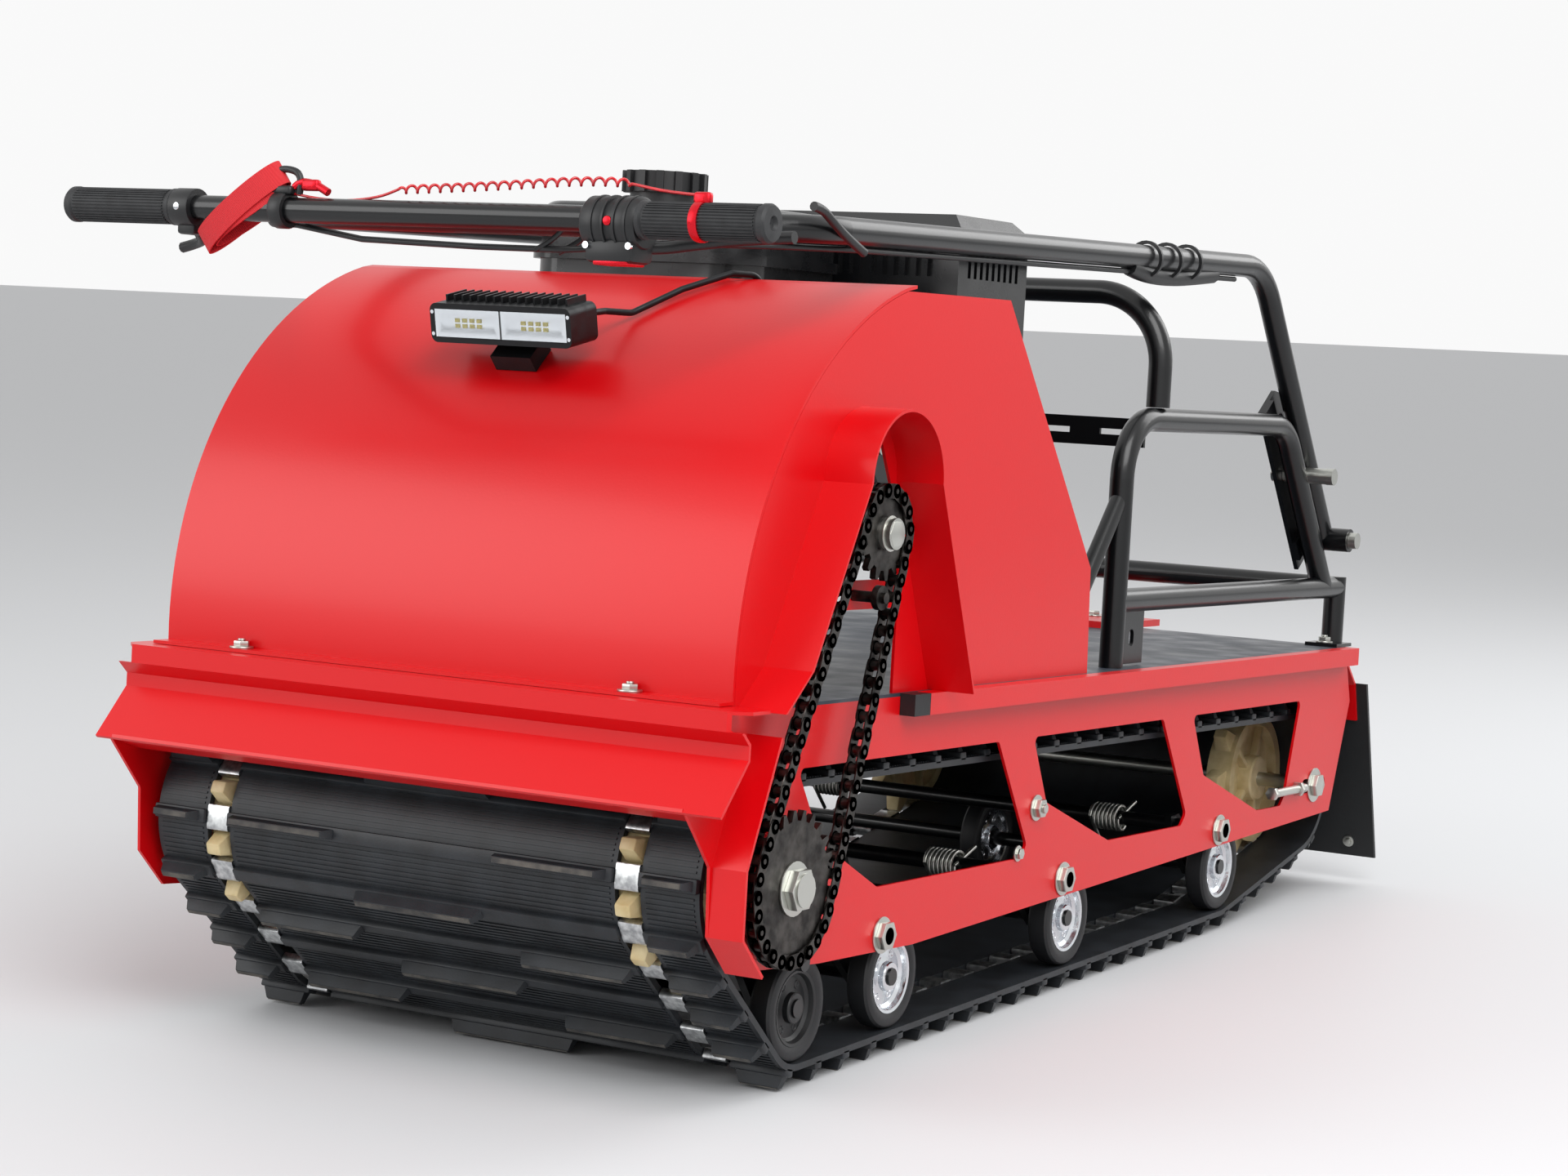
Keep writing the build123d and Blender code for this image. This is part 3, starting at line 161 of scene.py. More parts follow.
def linear(value):
    """An sRGB hex colour as linear RGBA."""
    parts = [int(value[i:i + 2], 16) / 255 for i in (1, 3, 5)]
    return [p / 12.92 if p <= 0.04045 else ((p + 0.055) / 1.055) ** 2.4 for p in parts] + [1.0]


def add_node(tree, kind, settings=None, **links):
    """One node with its settings. A link names an input, or gives _ and its number, and what feeds it."""
    node = tree.nodes.new(kind)
    for key, value in (settings or {}).items():
        setattr(node, key, value)
    for key, value in links.items():
        socket = node.inputs[int(key[1:]) if key[0] == "_" else key.replace("_", " ")]
        if isinstance(value, bpy.types.NodeSocket):
            tree.links.new(value, socket)
        else:
            socket.default_value = value
    return node


def new_material(name, colour, rough, metallic=0.0, coat=0.0, coat_rough=0.1, **more):
    """A Principled material and its look: the tree, the shader and the Object coordinates."""
    material = bpy.data.materials.new(name)
    material.use_nodes = True
    tree = material.node_tree
    shader = tree.nodes["Principled BSDF"]
    shader.inputs["Base Color"].default_value = linear(colour)
    more.update(Roughness=rough, Metallic=metallic, Coat_Weight=coat, Coat_Roughness=coat_rough)
    for key, value in more.items():
        shader.inputs[key.replace("_", " ")].default_value = value
    place = add_node(tree, "ShaderNodeTexCoord").outputs["Object"]
    return material, (tree, shader, place)


def grain(look, size, height, detail=2.0):
    """Fine bump with features of about the given size in metres."""
    tree, shader, place = look
    noise = add_node(tree, "ShaderNodeTexNoise", None, Vector=place, Scale=1 / size, Detail=detail)
    bump = add_node(tree, "ShaderNodeBump", None, Strength=0.5, Distance=height,
                    Height=noise.outputs["Fac"])
    tree.links.new(bump.outputs["Normal"], shader.inputs["Normal"])


def patches(look, size, detail, **span):
    """Noise in patches of about the given size, mapped to the given span."""
    tree, _, place = look
    noise = add_node(tree, "ShaderNodeTexNoise", None, Vector=place, Scale=1 / size, Detail=detail)
    return add_node(tree, "ShaderNodeMapRange", None, Value=noise.outputs["Fac"], **span).outputs["Result"]


def vary(look, size, colour, dark, low=NOISE_LOW, high=NOISE_HIGH):
    """Base colour mixed between two tones in patches of about the given size."""
    tree, shader, _ = look
    share = patches(look, size, 6.0, From_Min=low, From_Max=high)
    mix = add_node(tree, "ShaderNodeMix", {"data_type": "RGBA"}, Factor=share, _6=linear(colour),
                   _7=linear(dark))
    tree.links.new(mix.outputs[2], shader.inputs["Base Color"])


def wear(look, size, low, high):
    """Roughness that wanders between two values in patches of about the given size."""
    tree, shader, _ = look
    rough = patches(look, size, 5.0, From_Min=NOISE_LOW, From_Max=NOISE_HIGH, To_Min=low, To_Max=high)
    tree.links.new(rough, shader.inputs["Roughness"])


def powder_coat_red():
    # Powder coated steel: saturated red, even satin gloss, slight orange peel
    material, look = new_material("powder_coat_red", "#CE0009", 0.36, coat=0.08, coat_rough=0.15,
                                  Specular_IOR_Level=0.38)
    grain(look, 0.003, 0.00012)
    return material


def powder_coat_black():
    # Powder coated tube: black, semi-gloss
    material, look = new_material("powder_coat_black", "#08090B", 0.3, coat=0.18, Specular_IOR_Level=0.38)
    grain(look, 0.003, 0.0001)
    return material


def deck_coat():
    # Powder coated steel plate: dark blue-grey, scuffed by loads
    material, look = new_material("deck_coat_grey", "#2B313B", 0.4)
    vary(look, 0.08, "#2B313B", "#363C46", 0.45, 0.75)
    wear(look, 0.05, 0.34, 0.52)
    grain(look, 0.002, 0.0001)
    return material


def track_rubber():
    # Moulded track rubber: black with a painted sheen as a bluish cast in its colour, and grey wear in random
    # patches
    material, look = new_material("track_rubber", "#14171B", 0.5)
    vary(look, 0.03, "#101317", "#1F2328")
    grain(look, 0.002, 0.0002, 4.0)
    return material


def highlight_tip_rubber():
    # Lighter grey-brown tips of the lugs: a painted highlight along the lugs' edges, mottled in patches
    material, look = new_material("painted_highlight_tips", "#4A4642", 0.7)
    vary(look, 0.02, "#5A5650", "#2A2A2B")
    return material


def wheel_rubber():
    # Rubber tyres of the road wheels
    material, look = new_material("wheel_rubber", "#111215", 0.55)
    grain(look, 0.002, 0.00015)
    return material


def beige_polymer():
    # Cast polyurethane wheels: cream, slightly waxy
    material, look = new_material("cast_polyurethane_beige", "#D2BE92", 0.45, Subsurface_Weight=0.05)
    vary(look, 0.025, "#D6C498", "#B9A475")
    grain(look, 0.003, 0.0002)
    return material


def zinc_steel():
    # Zinc plated steel: pale grey with a faint warm cast
    material, look = new_material("zinc_plated_steel", "#BDBEB8", 0.32, metallic=1.0)
    grain(look, 0.001, 0.00005)
    return material


def chrome_steel():
    # Bright plated wheel discs
    material, look = new_material("bright_plated_steel", "#D5D8DC", 0.12, metallic=1.0)
    wear(look, 0.012, 0.1, 0.28)
    grain(look, 0.006, 0.0003)
    return material


def chain_steel():
    # Oiled roller chain steel: dark, slightly glossy
    material, look = new_material("oiled_chain_steel", "#454341", 0.4, metallic=1.0)
    vary(look, 0.015, "#4E4B48", "#292726")
    wear(look, 0.008, 0.3, 0.55)
    return material


def engine_coat():
    # Enamelled engine covers: black gloss
    material, look = new_material("black_engine_enamel", "#0B0C0E", 0.25, coat=0.25)
    grain(look, 0.003, 0.00012)
    wear(look, 0.04, 0.2, 0.34)
    return material


def black_plastic():
    # Moulded ABS, fine texture
    material, look = new_material("moulded_abs_black", "#0E0F11", 0.45)
    grain(look, 0.001, 0.0001)
    return material


def grip_rubber():
    # Soft rubber of the grips
    material, look = new_material("grip_rubber", "#18191B", 0.6)
    vary(look, 0.01, "#18191B", "#242527")
    grain(look, 0.0015, 0.0002)
    return material


def flap_rubber():
    # Calendered rubber sheet of the mud flap
    material, look = new_material("flap_rubber_sheet", "#131517", 0.55)
    grain(look, 0.004, 0.0003)
    return material


def galvanised_steel():
    # Hot dipped steel clips of the track: pale, slightly mottled
    material, look = new_material("galvanised_steel", "#C3C5C6", 0.34, metallic=1.0)
    vary(look, 0.006, "#CFD1D1", "#9C9EA0")
    return material


def nylon_webbing():
    # Woven nylon strap: red, with a fine cross weave
    material, look = new_material("nylon_webbing_red", "#C4101C", 0.65)
    tree, shader, place = look
    wave = add_node(tree, "ShaderNodeTexWave", {"bands_direction": "DIAGONAL"}, Vector=place, Scale=300.0)
    bump = add_node(tree, "ShaderNodeBump", None, Strength=0.6, Distance=0.0004, Height=wave.outputs["Fac"])
    tree.links.new(bump.outputs["Normal"], shader.inputs["Normal"])
    return material


def tether_cord():
    # Extruded polyurethane of the coiled tether: red and slightly glossy
    material, look = new_material("polyurethane_cord_red", "#D01822", 0.3, coat=0.3)
    vary(look, 0.02, "#D41822", "#B2101A")
    return material


def anodised_red():
    # Anodised aluminium clip: bright red metal
    material, look = new_material("anodised_aluminium_red", "#D21A28", 0.25, metallic=0.8)
    wear(look, 0.005, 0.2, 0.4)
    return material


def lamp_glass():
    # Clear lamp glass, slightly dusty
    material, look = new_material("lamp_glass", "#F4F6F8", 0.06, Transmission_Weight=1.0, IOR=1.45)
    wear(look, 0.02, 0.03, 0.12)
    return material


def lamp_reflector():
    # Metallised plastic reflector
    material, look = new_material("metallised_reflector", "#E8E9EA", 0.14, metallic=1.0)
    grain(look, 0.002, 0.00015)
    return material


def lamp_chip():
    # Phosphor coated chips: pale yellow, matt
    material, look = new_material("phosphor_chip", "#E6DC8E", 0.5)
    vary(look, 0.001, "#EADF8C", "#D0BE5C")
    return material


def lamp_alloy():
    # Black anodised die-cast aluminium
    material, look = new_material("black_anodised_aluminium", "#1B1C1E", 0.4, metallic=0.6)
    grain(look, 0.001, 0.0001)
    wear(look, 0.01, 0.34, 0.5)
    return material


MATERIALS = {}


def finish(maker):
    """The material of one maker function, made once."""
    if maker.__name__ not in MATERIALS:
        MATERIALS[maker.__name__] = maker()
    return MATERIALS[maker.__name__]


FINISHES = (
    (powder_coat_red, ("side_plate_left", "side_plate_right", "front_bumper", "chain_shield", "hood_shell",
                       "hood_side_left", "hood_side_right", "chain_guard", "tow_plate", "rear_panel",
                       "deck_edges")),
    (powder_coat_black, ("suspension_arms", "engine_plinth", "cage_left", "cage_right", "cage_crossbars",
                         "cage_hoop", "fork_plates", "handle_frame", "handlebar")),
    (deck_coat, ("deck_plate",)),
    (track_rubber, ("track_belt",)),
    (wheel_rubber, ("wheel_tyres",)),
    (beige_polymer, ("drive_wheels", "rear_wheels")),
    (zinc_steel, ("drive_shaft", "rear_shaft", "engine_shaft", "handle_bolts")),
    (chrome_steel, ("wheel_rims", "suspension_springs")),
    (chain_steel, ("drive_sprocket", "engine_sprocket", "drive_chain")),
    (engine_coat, ("engine_block", "fuel_tank", "muffler_cover")),
    (black_plastic, ("fuel_cap", "air_filter", "hand_controls", "control_cable")),
    (grip_rubber, ("grips",)),
    (flap_rubber, ("mud_flap", "edge_stops")),
    (lamp_alloy, ("lamp_body",)),
    (lamp_glass, ("lamp_lens",)),
    (tether_cord, ("stop_tether",)),
)


def add_piece(shape, name, maker, body="chassis", replaces=(), smooth=30.0):
    """A bmesh in deck millimetres as a finished piece that rides on a body."""
    bmesh.ops.recalc_face_normals(shape, faces=shape.faces)
    bmesh.ops.transform(shape, matrix=DECK, verts=shape.verts)
    mesh = bpy.data.meshes.new(name)
    shape.to_mesh(mesh)
    shape.free()
    mesh.shade_smooth()
    mesh.set_sharp_from_angle(angle=math.radians(smooth))
    mesh.materials.append(finish(maker))
    piece = bpy.data.objects.new(name, mesh)
    bpy.context.scene.collection.objects.link(piece)
    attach(piece, body)
    if replaces:
        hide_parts(*replaces)
    return piece


def edges_of(verts):
    """The edges that meet at some vertices."""
    return {edge for vert in verts for edge in vert.link_edges}


def faces_of(verts):
    """The faces that meet at some vertices."""
    return {face for vert in verts for face in vert.link_faces}


def cut_edges(shape, edges, offset, segments=2):
    """Edges rounded or cut off by an offset."""
    bmesh.ops.bevel(shape, geom=list(edges), offset=offset, offset_type="OFFSET", segments=segments,
                    profile=0.5, affect="EDGES", material=-1)


def add_box(shape, low, high, bevel=0.0):
    """A box between two corners, with its edges bevelled."""
    middle = [(a + b) / 2 for a, b in zip(low, high)]
    size = [b - a for a, b in zip(low, high)]
    matrix = Matrix.Translation(middle) @ Matrix.Diagonal((*size, 1.0))
    made = bmesh.ops.create_cube(shape, size=1.0, matrix=matrix)
    if bevel:
        cut_edges(shape, edges_of(made["verts"]), bevel)
    return made["verts"]


def add_rod(shape, start, end, radius, sides=20, bevel=0.0):
    """A round or hexagonal bar from one point to another."""
    start, end = Vector(start), Vector(end)
    along = end - start
    matrix = Matrix.Translation((start + end) / 2) @ along.to_track_quat("Z", "X").to_matrix().to_4x4()
    made = bmesh.ops.create_cone(shape, cap_ends=True, segments=sides, radius1=radius, radius2=radius,
                                 depth=along.length, matrix=matrix)
    if bevel:
        cut_edges(shape, [edge for edge in edges_of(made["verts"])
                          if any(len(face.verts) > 4 for face in edge.link_faces)], bevel)


def mirrored(half):
    """A closed profile from its half that lies at negative places along the axis."""
    return [*half, *((r, -a) for r, a in reversed(half) if a), half[0]]


def add_lathe(shape, profile, start, steps=32, axis=(0, 1, 0)):
    """A turned shape: profile of (radius, along) spun round an axis through a point."""
    start, axis = Vector(start), Vector(axis).normalized()
    side = axis.orthogonal().normalized()
    closed = profile[0] == profile[-1]
    ring = [shape.verts.new(start + side * r + axis * a) for r, a in (profile[:-1] if closed else profile)]
    pairs = zip(ring, ring[1:] + ring[:1] if closed else ring[1:])
    edges = [shape.edges.new(pair) for pair in pairs]
    bmesh.ops.spin(shape, geom=ring + edges, cent=start, axis=axis, angle=math.tau, steps=steps,
                   use_merge=True, use_duplicate=False)


def as_mesh(shape):
    """A bmesh kept as a mesh that can be put in several times."""
    mesh = bpy.data.meshes.new("part")
    shape.to_mesh(mesh)
    shape.free()
    return mesh


def add_copy(shape, mesh, matrix):
    """A copy of a kept mesh, put in at a place."""
    first = len(shape.verts)
    shape.from_mesh(mesh)
    shape.verts.ensure_lookup_table()
    bmesh.ops.transform(shape, matrix=matrix, verts=shape.verts[first:])


def add_bolt(shape, place, axis, across, high, washer=0.0, stud=0.0):
    """A hexagon head or nut on its washer, with the stud's end standing out of it."""
    place, axis = Vector(place), Vector(axis).normalized()
    if washer:
        add_rod(shape, place, place + axis * WASHER, washer, 24, bevel=0.4)
        place = place + axis * WASHER
    add_rod(shape, place, place + axis * high, across / 2 / math.cos(math.pi / 6), 6, bevel=0.6)
    if stud:
        add_rod(shape, place + axis * high, place + axis * (high + stud), across * 0.28, 14, bevel=0.6)


def new_curve(name, points, resolution, radius=0.0):
    """A curve with one NURBS spline of order 3 that reaches both of its ends."""
    curve = bpy.data.curves.new(name, "CURVE")
    curve.dimensions = "3D"
    curve.bevel_depth = radius
    curve.bevel_resolution = 3
    curve.resolution_u = resolution
    curve.use_fill_caps = True
    spline = curve.splines.new("NURBS")
    spline.points.add(len(points) - 1)
    for point, place in zip(spline.points, points):
        point.co = (*place, 1.0)
    spline.order_u = 3
    spline.use_endpoint_u = True
    return curve


def curve_mesh(curve):
    """The curve as a mesh; the curve itself is removed."""
    holder = bpy.data.objects.new("route", curve)
    mesh = bpy.data.meshes.new_from_object(holder)
    bpy.data.objects.remove(holder)
    bpy.data.curves.remove(curve)
    return mesh


def add_sweep(shape, points, radius):
    """A smooth bent bar along a NURBS route, closed at both ends."""
    mesh = curve_mesh(new_curve("route", points, 6, radius))
    shape.from_mesh(mesh)
    bpy.data.meshes.remove(mesh)


def at_bar(*places):
    """Places given with x and z from the bar's middle line, in the deck's frame."""
    return [Vector((BAR[0] + x, y, BAR[1] + z)) for x, y, z in places]


def belt_runs(circles):
    """Straight runs of the tangent loop round circles (x, z, r)."""
    runs = []
    for (x0, z0, r0), (x1, z1, r1) in zip(circles, circles[1:] + circles[:1]):
        length = math.hypot(x1 - x0, z1 - z0)
        normal = math.atan2(z1 - z0, x1 - x0) - math.acos((r0 - r1) / length)
        runs.append(((x0 + r0 * math.cos(normal), z0 + r0 * math.sin(normal)),
                     (x1 + r1 * math.cos(normal), z1 + r1 * math.sin(normal))))
    return runs


def loop_pieces(circles):
    """Runs and arcs of the loop in order, each with its length, and the whole length."""
    runs = belt_runs(circles)
    pieces = []
    for i, (start, end) in enumerate(runs):
        pieces.append((None, start, end, math.hypot(end[0] - start[0], end[1] - start[1])))
        x, z, r = circles[(i + 1) % len(circles)]
        leave = runs[(i + 1) % len(runs)][0]
        first = math.atan2(end[1] - z, end[0] - x)
        turn = (math.atan2(leave[1] - z, leave[0] - x) - first) % (2 * math.pi)
        pieces.append(((x, z, r), first, turn, r * turn))
    return pieces, sum(piece[3] for piece in pieces)


def on_loop(pieces, total, s, up):
    """Point of the X-Z plane at a distance along the loop and a height over it."""
    s %= total
    for circle, a, b, length in pieces:
        if s > length:
            s -= length
            continue
        if circle is None:
            t = s / length
            heading = math.atan2(b[1] - a[1], b[0] - a[0])
            x, z = a[0] + t * (b[0] - a[0]), a[1] + t * (b[1] - a[1])
            return x + up * math.sin(heading), z - up * math.cos(heading)
        angle = a + b * s / length
        reach = circle[2] + up
        return circle[0] + reach * math.cos(angle), circle[1] + reach * math.sin(angle)
    return on_loop(pieces, total, 0.0, up)


TRACK_CIRCLES = [
    (IDLER[0], IDLER[1], DRUM + BELT / 2),
    (AXLES[3], ground(AXLES[3]) + AXLE_Z, WHEEL_R + BELT / 2),
    (AXLES[0], ground(AXLES[0]) + AXLE_Z, WHEEL_R + BELT / 2),
    (DRIVE[0], DRIVE[1], DRUM + BELT / 2),
]
TRACK_PIECES, TRACK_LENGTH = loop_pieces(TRACK_CIRCLES)
ROWS = 2 * round(TRACK_LENGTH / PITCH / 2)
ROW = TRACK_LENGTH / ROWS
# Distance along the loop to the middle of the arc round the drive wheel: a window lies there
DRIVE_ARC = sum(piece[3] for piece in TRACK_PIECES[:5]) + TRACK_PIECES[5][3] / 2
PHASE = DRIVE_ARC % ROW


def template(build):
    """A flat mesh of one row, cut crosswise so that it can bend round the wheels."""
    shape = bmesh.new()
    build(shape)
    for n in range(1 - STRIPS // 2, STRIPS // 2):
        bmesh.ops.bisect_plane(shape, geom=shape.verts[:] + shape.edges[:] + shape.faces[:], dist=1e-5,
                               plane_co=(n * ROW / STRIPS, 0, 0), plane_no=(1, 0, 0))
    bmesh.ops.recalc_face_normals(shape, faces=shape.faces)
    return as_mesh(shape)


def wrap_rows(builds):
    """Flat rows repeated in turn round the loop; x is along it and z the height over it."""
    templates = [template(build) for build in builds]
    shape = bmesh.new()
    for row in range(ROWS):
        first = len(shape.verts)
        shape.from_mesh(templates[row % len(templates)])
        shape.verts.ensure_lookup_table()
        for vert in shape.verts[first:]:
            x, z = on_loop(TRACK_PIECES, TRACK_LENGTH, vert.co.x + PHASE + row * ROW, vert.co.z)
            vert.co = (x, vert.co.y, z)
    return shape


class TugStage(bpy.types.PropertyGroup):
    floor_colour: StringProperty(name="Floor", description="sRGB hex colour of the floor", default="#D9DADC")
    key_power: FloatProperty(name="Key light", description="Power of the large soft lamp", default=150.0,
                             min=0.0, unit="POWER")
    fill_power: FloatProperty(name="Fill light", description="Power of the side lamp", default=60.0,
                              min=0.0, unit="POWER")
    lens: FloatProperty(name="Lens", description="Focal length of the camera", default=78.634, min=1.0,
                        unit="CAMERA")
    camera_place: FloatVectorProperty(name="Camera", description="Place of the camera", unit="LENGTH",
                                      default=(3.117281, 1.7945, 0.7357))


class TUG_OT_dress(bpy.types.Operator):
    """Give every CAD node its finish"""
    bl_idname = "tug.dress"
    bl_label = "Dress the frame"

    def execute(self, context):
        for maker, names in FINISHES:
            material = finish(maker)
            for name in names:
                nodes[name].data.materials.clear()
                nodes[name].data.materials.append(material)
        return {"FINISHED"}


class TUG_OT_stage(bpy.types.Operator):
    """Floor, soft lamps, world and the camera at the photograph's angle"""
    bl_idname = "tug.stage"
    bl_label = "Stage and camera"

    def execute(self, context):
        sizes = context.scene.tug_stage
        scene = context.scene
        scene.view_settings.view_transform = "Standard"

        shape = bmesh.new()
        bmesh.ops.create_grid(shape, x_segments=1, y_segments=1, size=30.0)
        mesh = bpy.data.meshes.new("floor")
        shape.to_mesh(mesh)
        shape.free()
        floor = bpy.data.objects.new("floor", mesh)
        scene.collection.objects.link(floor)
        material, _ = new_material("painted_floor", sizes.floor_colour, 0.6)
        mesh.materials.append(material)

        world = bpy.data.worlds.new("studio")
        scene.world = world
        world.use_nodes = True
        tree = world.node_tree
        back = tree.nodes["Background"]
        back.inputs["Color"].default_value = linear("#FFFFFF")
        path = add_node(tree, "ShaderNodeLightPath")
        seen = add_node(tree, "ShaderNodeMath", {"operation": "MAXIMUM"},
                        _0=path.outputs["Is Camera Ray"], _1=path.outputs["Is Glossy Ray"])
        strength = add_node(tree, "ShaderNodeMapRange", None, Value=seen.outputs[0], To_Min=0.55, To_Max=0.95)
        tree.links.new(strength.outputs["Result"], back.inputs["Strength"])

        for name, power, size, place in (
                ("key_lamp", sizes.key_power, 3.0, (2.2, 2.6, 3.2)),
                ("fill_lamp", sizes.fill_power, 2.5, (3.4, -2.6, 2.0)),
                ("rim_lamp", sizes.fill_power, 2.5, (-3.0, 1.5, 2.6))):
            light = bpy.data.lights.new(name, "AREA")
            light.energy = power
            light.size = size
            lamp = bpy.data.objects.new(name, light)
            scene.collection.objects.link(lamp)
            lamp.location = place
            lamp.rotation_euler = (Vector(place) - LAMP_AIM).to_track_quat("Z", "Y").to_euler()

        camera_data = bpy.data.cameras.new("camera")
        camera_data.sensor_width = 36.0
        camera_data.sensor_fit = "HORIZONTAL"
        camera_data.lens = sizes.lens
        camera = bpy.data.objects.new("camera", camera_data)
        scene.collection.objects.link(camera)
        yaw, pitch, roll = (math.radians(a) for a in CAMERA_TURN)
        ahead = Vector((-math.cos(yaw) * math.cos(pitch), -math.sin(yaw) * math.cos(pitch), -math.sin(pitch)))
        right = ahead.cross(Vector((0, 0, 1))).normalized()
        up = right.cross(ahead)
        across = math.cos(roll) * right + math.sin(roll) * up
        upward = math.cos(roll) * up - math.sin(roll) * right
        turn = Matrix.Rotation(-STANCE, 3, "Y")
        basis = Matrix((turn @ across, turn @ upward, turn @ -ahead)).transposed()
        camera.matrix_world = Matrix.Translation(sizes.camera_place) @ basis.to_4x4()
        scene.camera = camera
        return {"FINISHED"}


class TUG_OT_track(bpy.types.Operator):
    """Rubber track: belt bands, window bars, staggered lugs and steel clips"""
    bl_idname = "tug.track"
    bl_label = "Track"

    def execute(self, context):
        half = ROW / 2
        top = BELT / 2 + LUG

        def add_bar(shape, y0, y1, reach, low, high, bevel=0.0):
            """A box across the belt, half a row along it."""
            return add_box(shape, (half - reach, y0, low), (half + reach, y1, high), bevel)

        def add_band(shape, y0, y1):
            verts = add_box(shape, (-half, y0, -BELT / 2), (half, y1, BELT / 2))
            ends = [face for face in faces_of(verts) if abs(face.calc_center_median().x) > half - 0.1]
            bmesh.ops.delete(shape, geom=ends, context="FACES")

        def add_lug(shape, y0, y1):
            verts = add_bar(shape, y0, y1, LUG_BASE / 2, 0, top - LUG_SHORT)
            upper = [v for v in verts if v.co.z > BELT]
            middle = Matrix.Translation((-half, -(y0 + y1) / 2, 0))
            bmesh.ops.scale(shape, vec=(LUG_TIP / LUG_BASE, 1 - 2 * LUG_SLANT / (y1 - y0), 1), space=middle,
                            verts=upper)
            rim = [edge for edge in edges_of(upper) if all(v in upper for v in edge.verts)]
            cut_edges(shape, rim, 1.2, 1)

        def row(spans):
            def build(shape):
                for y0, y1 in BANDS:
                    add_band(shape, y0, y1)
                for side in (-1, 1):
                    y0, y1 = sorted((side * (WINDOW_IN - 2), side * (WINDOW_OUT + 2)))
                    add_bar(shape, y0, y1, BAR_WIDE / 2, -BELT / 2, BELT / 2 - 0.2)
                # A low ridge right across each band, with the lugs standing higher on it,
                # and fine moulded ribs between the ridges
                for y0, y1 in BANDS:
                    add_bar(shape, y0, y1, LUG_BASE / 2, 0, BELT / 2 + RIDGE, 1.6)
                    for x in (n * RIB_PITCH for n in range(-3, 4)):
                        add_box(shape, (x - RIB, y0 + 5, BELT / 2 - 1), (x + RIB, y1 - 5, BELT / 2 + RIB))
                for y0, y1 in spans:
                    add_lug(shape, y0, y1)
            return build

        # Thin lighter slabs on the lug tips: a painted highlight along the lugs' edges
        def highlight_tip_rows(spans):
            def build(shape):
                inset = LUG_SLANT + 1
                for y0, y1 in spans:
                    add_bar(shape, y0 + inset, y1 - inset, LUG_TIP / 2 - 0.4, LUG, top - TIP_SHORT)
            return build

        def clip(shape):
            for side in (-1, 1):
                y0, y1 = sorted((side * (WINDOW_IN + 1), side * (WINDOW_OUT - 1)))
                verts = add_bar(shape, y0, y1, BAR_WIDE / 2 + CLIP, -BELT / 2 - CLIP, BELT / 2 + 2.5)
                cut_edges(shape, [edge for edge in edges_of(verts)
                                  if abs(edge.verts[0].co.y - edge.verts[1].co.y) > 1], 2.5)

        shape = wrap_rows([row(spans) for spans in LUG_ROWS])
        bmesh.ops.remove_doubles(shape, verts=shape.verts, dist=0.02)
        add_piece(shape, "track_rubber_loop", track_rubber, replaces=("track_belt",),
                  smooth=35)
        # The lighter lug tips are a painted highlight
        add_piece(wrap_rows([highlight_tip_rows(spans) for spans in LUG_ROWS]), "lug_tip_highlights", highlight_tip_rubber)
        add_piece(wrap_rows([clip]), "track_clips", galvanised_steel)
        return {"FINISHED"}


class TUG_OT_cogs(bpy.types.Operator):
    """Toothed drive and rear wheels whose teeth stand through the track's windows"""
    bl_idname = "tug.cogs"
    bl_label = "Toothed wheels"

    def execute(self, context):
        tip, root = DRUM + BELT + 10.0, DRUM - 3.0
        part = bmesh.new()
        verts = add_box(part, (root - 4, -TOOTH_HALF, -13), (tip, TOOTH_HALF, 13))
        outer = [v for v in verts if v.co.x > root]
        bmesh.ops.scale(part, vec=(1, 0.8, 0.42), verts=outer)
        cut_edges(part, edges_of(outer), 2.0)
        tooth = as_mesh(part)
        part = bmesh.new()
        add_box(part, (24, -COG_HALF + 2, -3), (root - 10, COG_HALF - 2, 3), 0.8)
        rib = as_mesh(part)
        rear_arc = sum(piece[3] for piece in TRACK_PIECES[:7])
        for name, (x, z), bore, start in (("drive", DRIVE, 15.0, DRIVE_ARC), ("rear", IDLER, 8.0, rear_arc)):
            shape = bmesh.new()
            # The first window past the start gives the turn at which the teeth meet the windows
            along = PHASE + math.ceil((start - PHASE) / ROW) * ROW
            px, pz = on_loop(TRACK_PIECES, TRACK_LENGTH, along, 0.0)
            phase = math.atan2(pz - z, px - x)
            profile = mirrored([(bore, -COG_HALF - 5), (24, -COG_HALF - 5), (26, -COG_HALF - 3), (27, -4),
                                (root - 14, -4), (root - 12, -COG_HALF), (root, -COG_HALF)])
            for side in (-1, 1):
                place = (x, side * COLUMN, z)
                add_lathe(shape, profile, place, 40)
                for n in range(TEETH):
                    turn = Matrix.Translation(place) @ Matrix.Rotation(-phase - math.tau * n / TEETH, 4, "Y")
                    add_copy(shape, tooth, turn)
                    if n % 2 == 0:
                        add_copy(shape, rib, turn)
            add_piece(shape, f"{name}_cogs", beige_polymer, replaces=(f"{name}_wheels",))
        return {"FINISHED"}


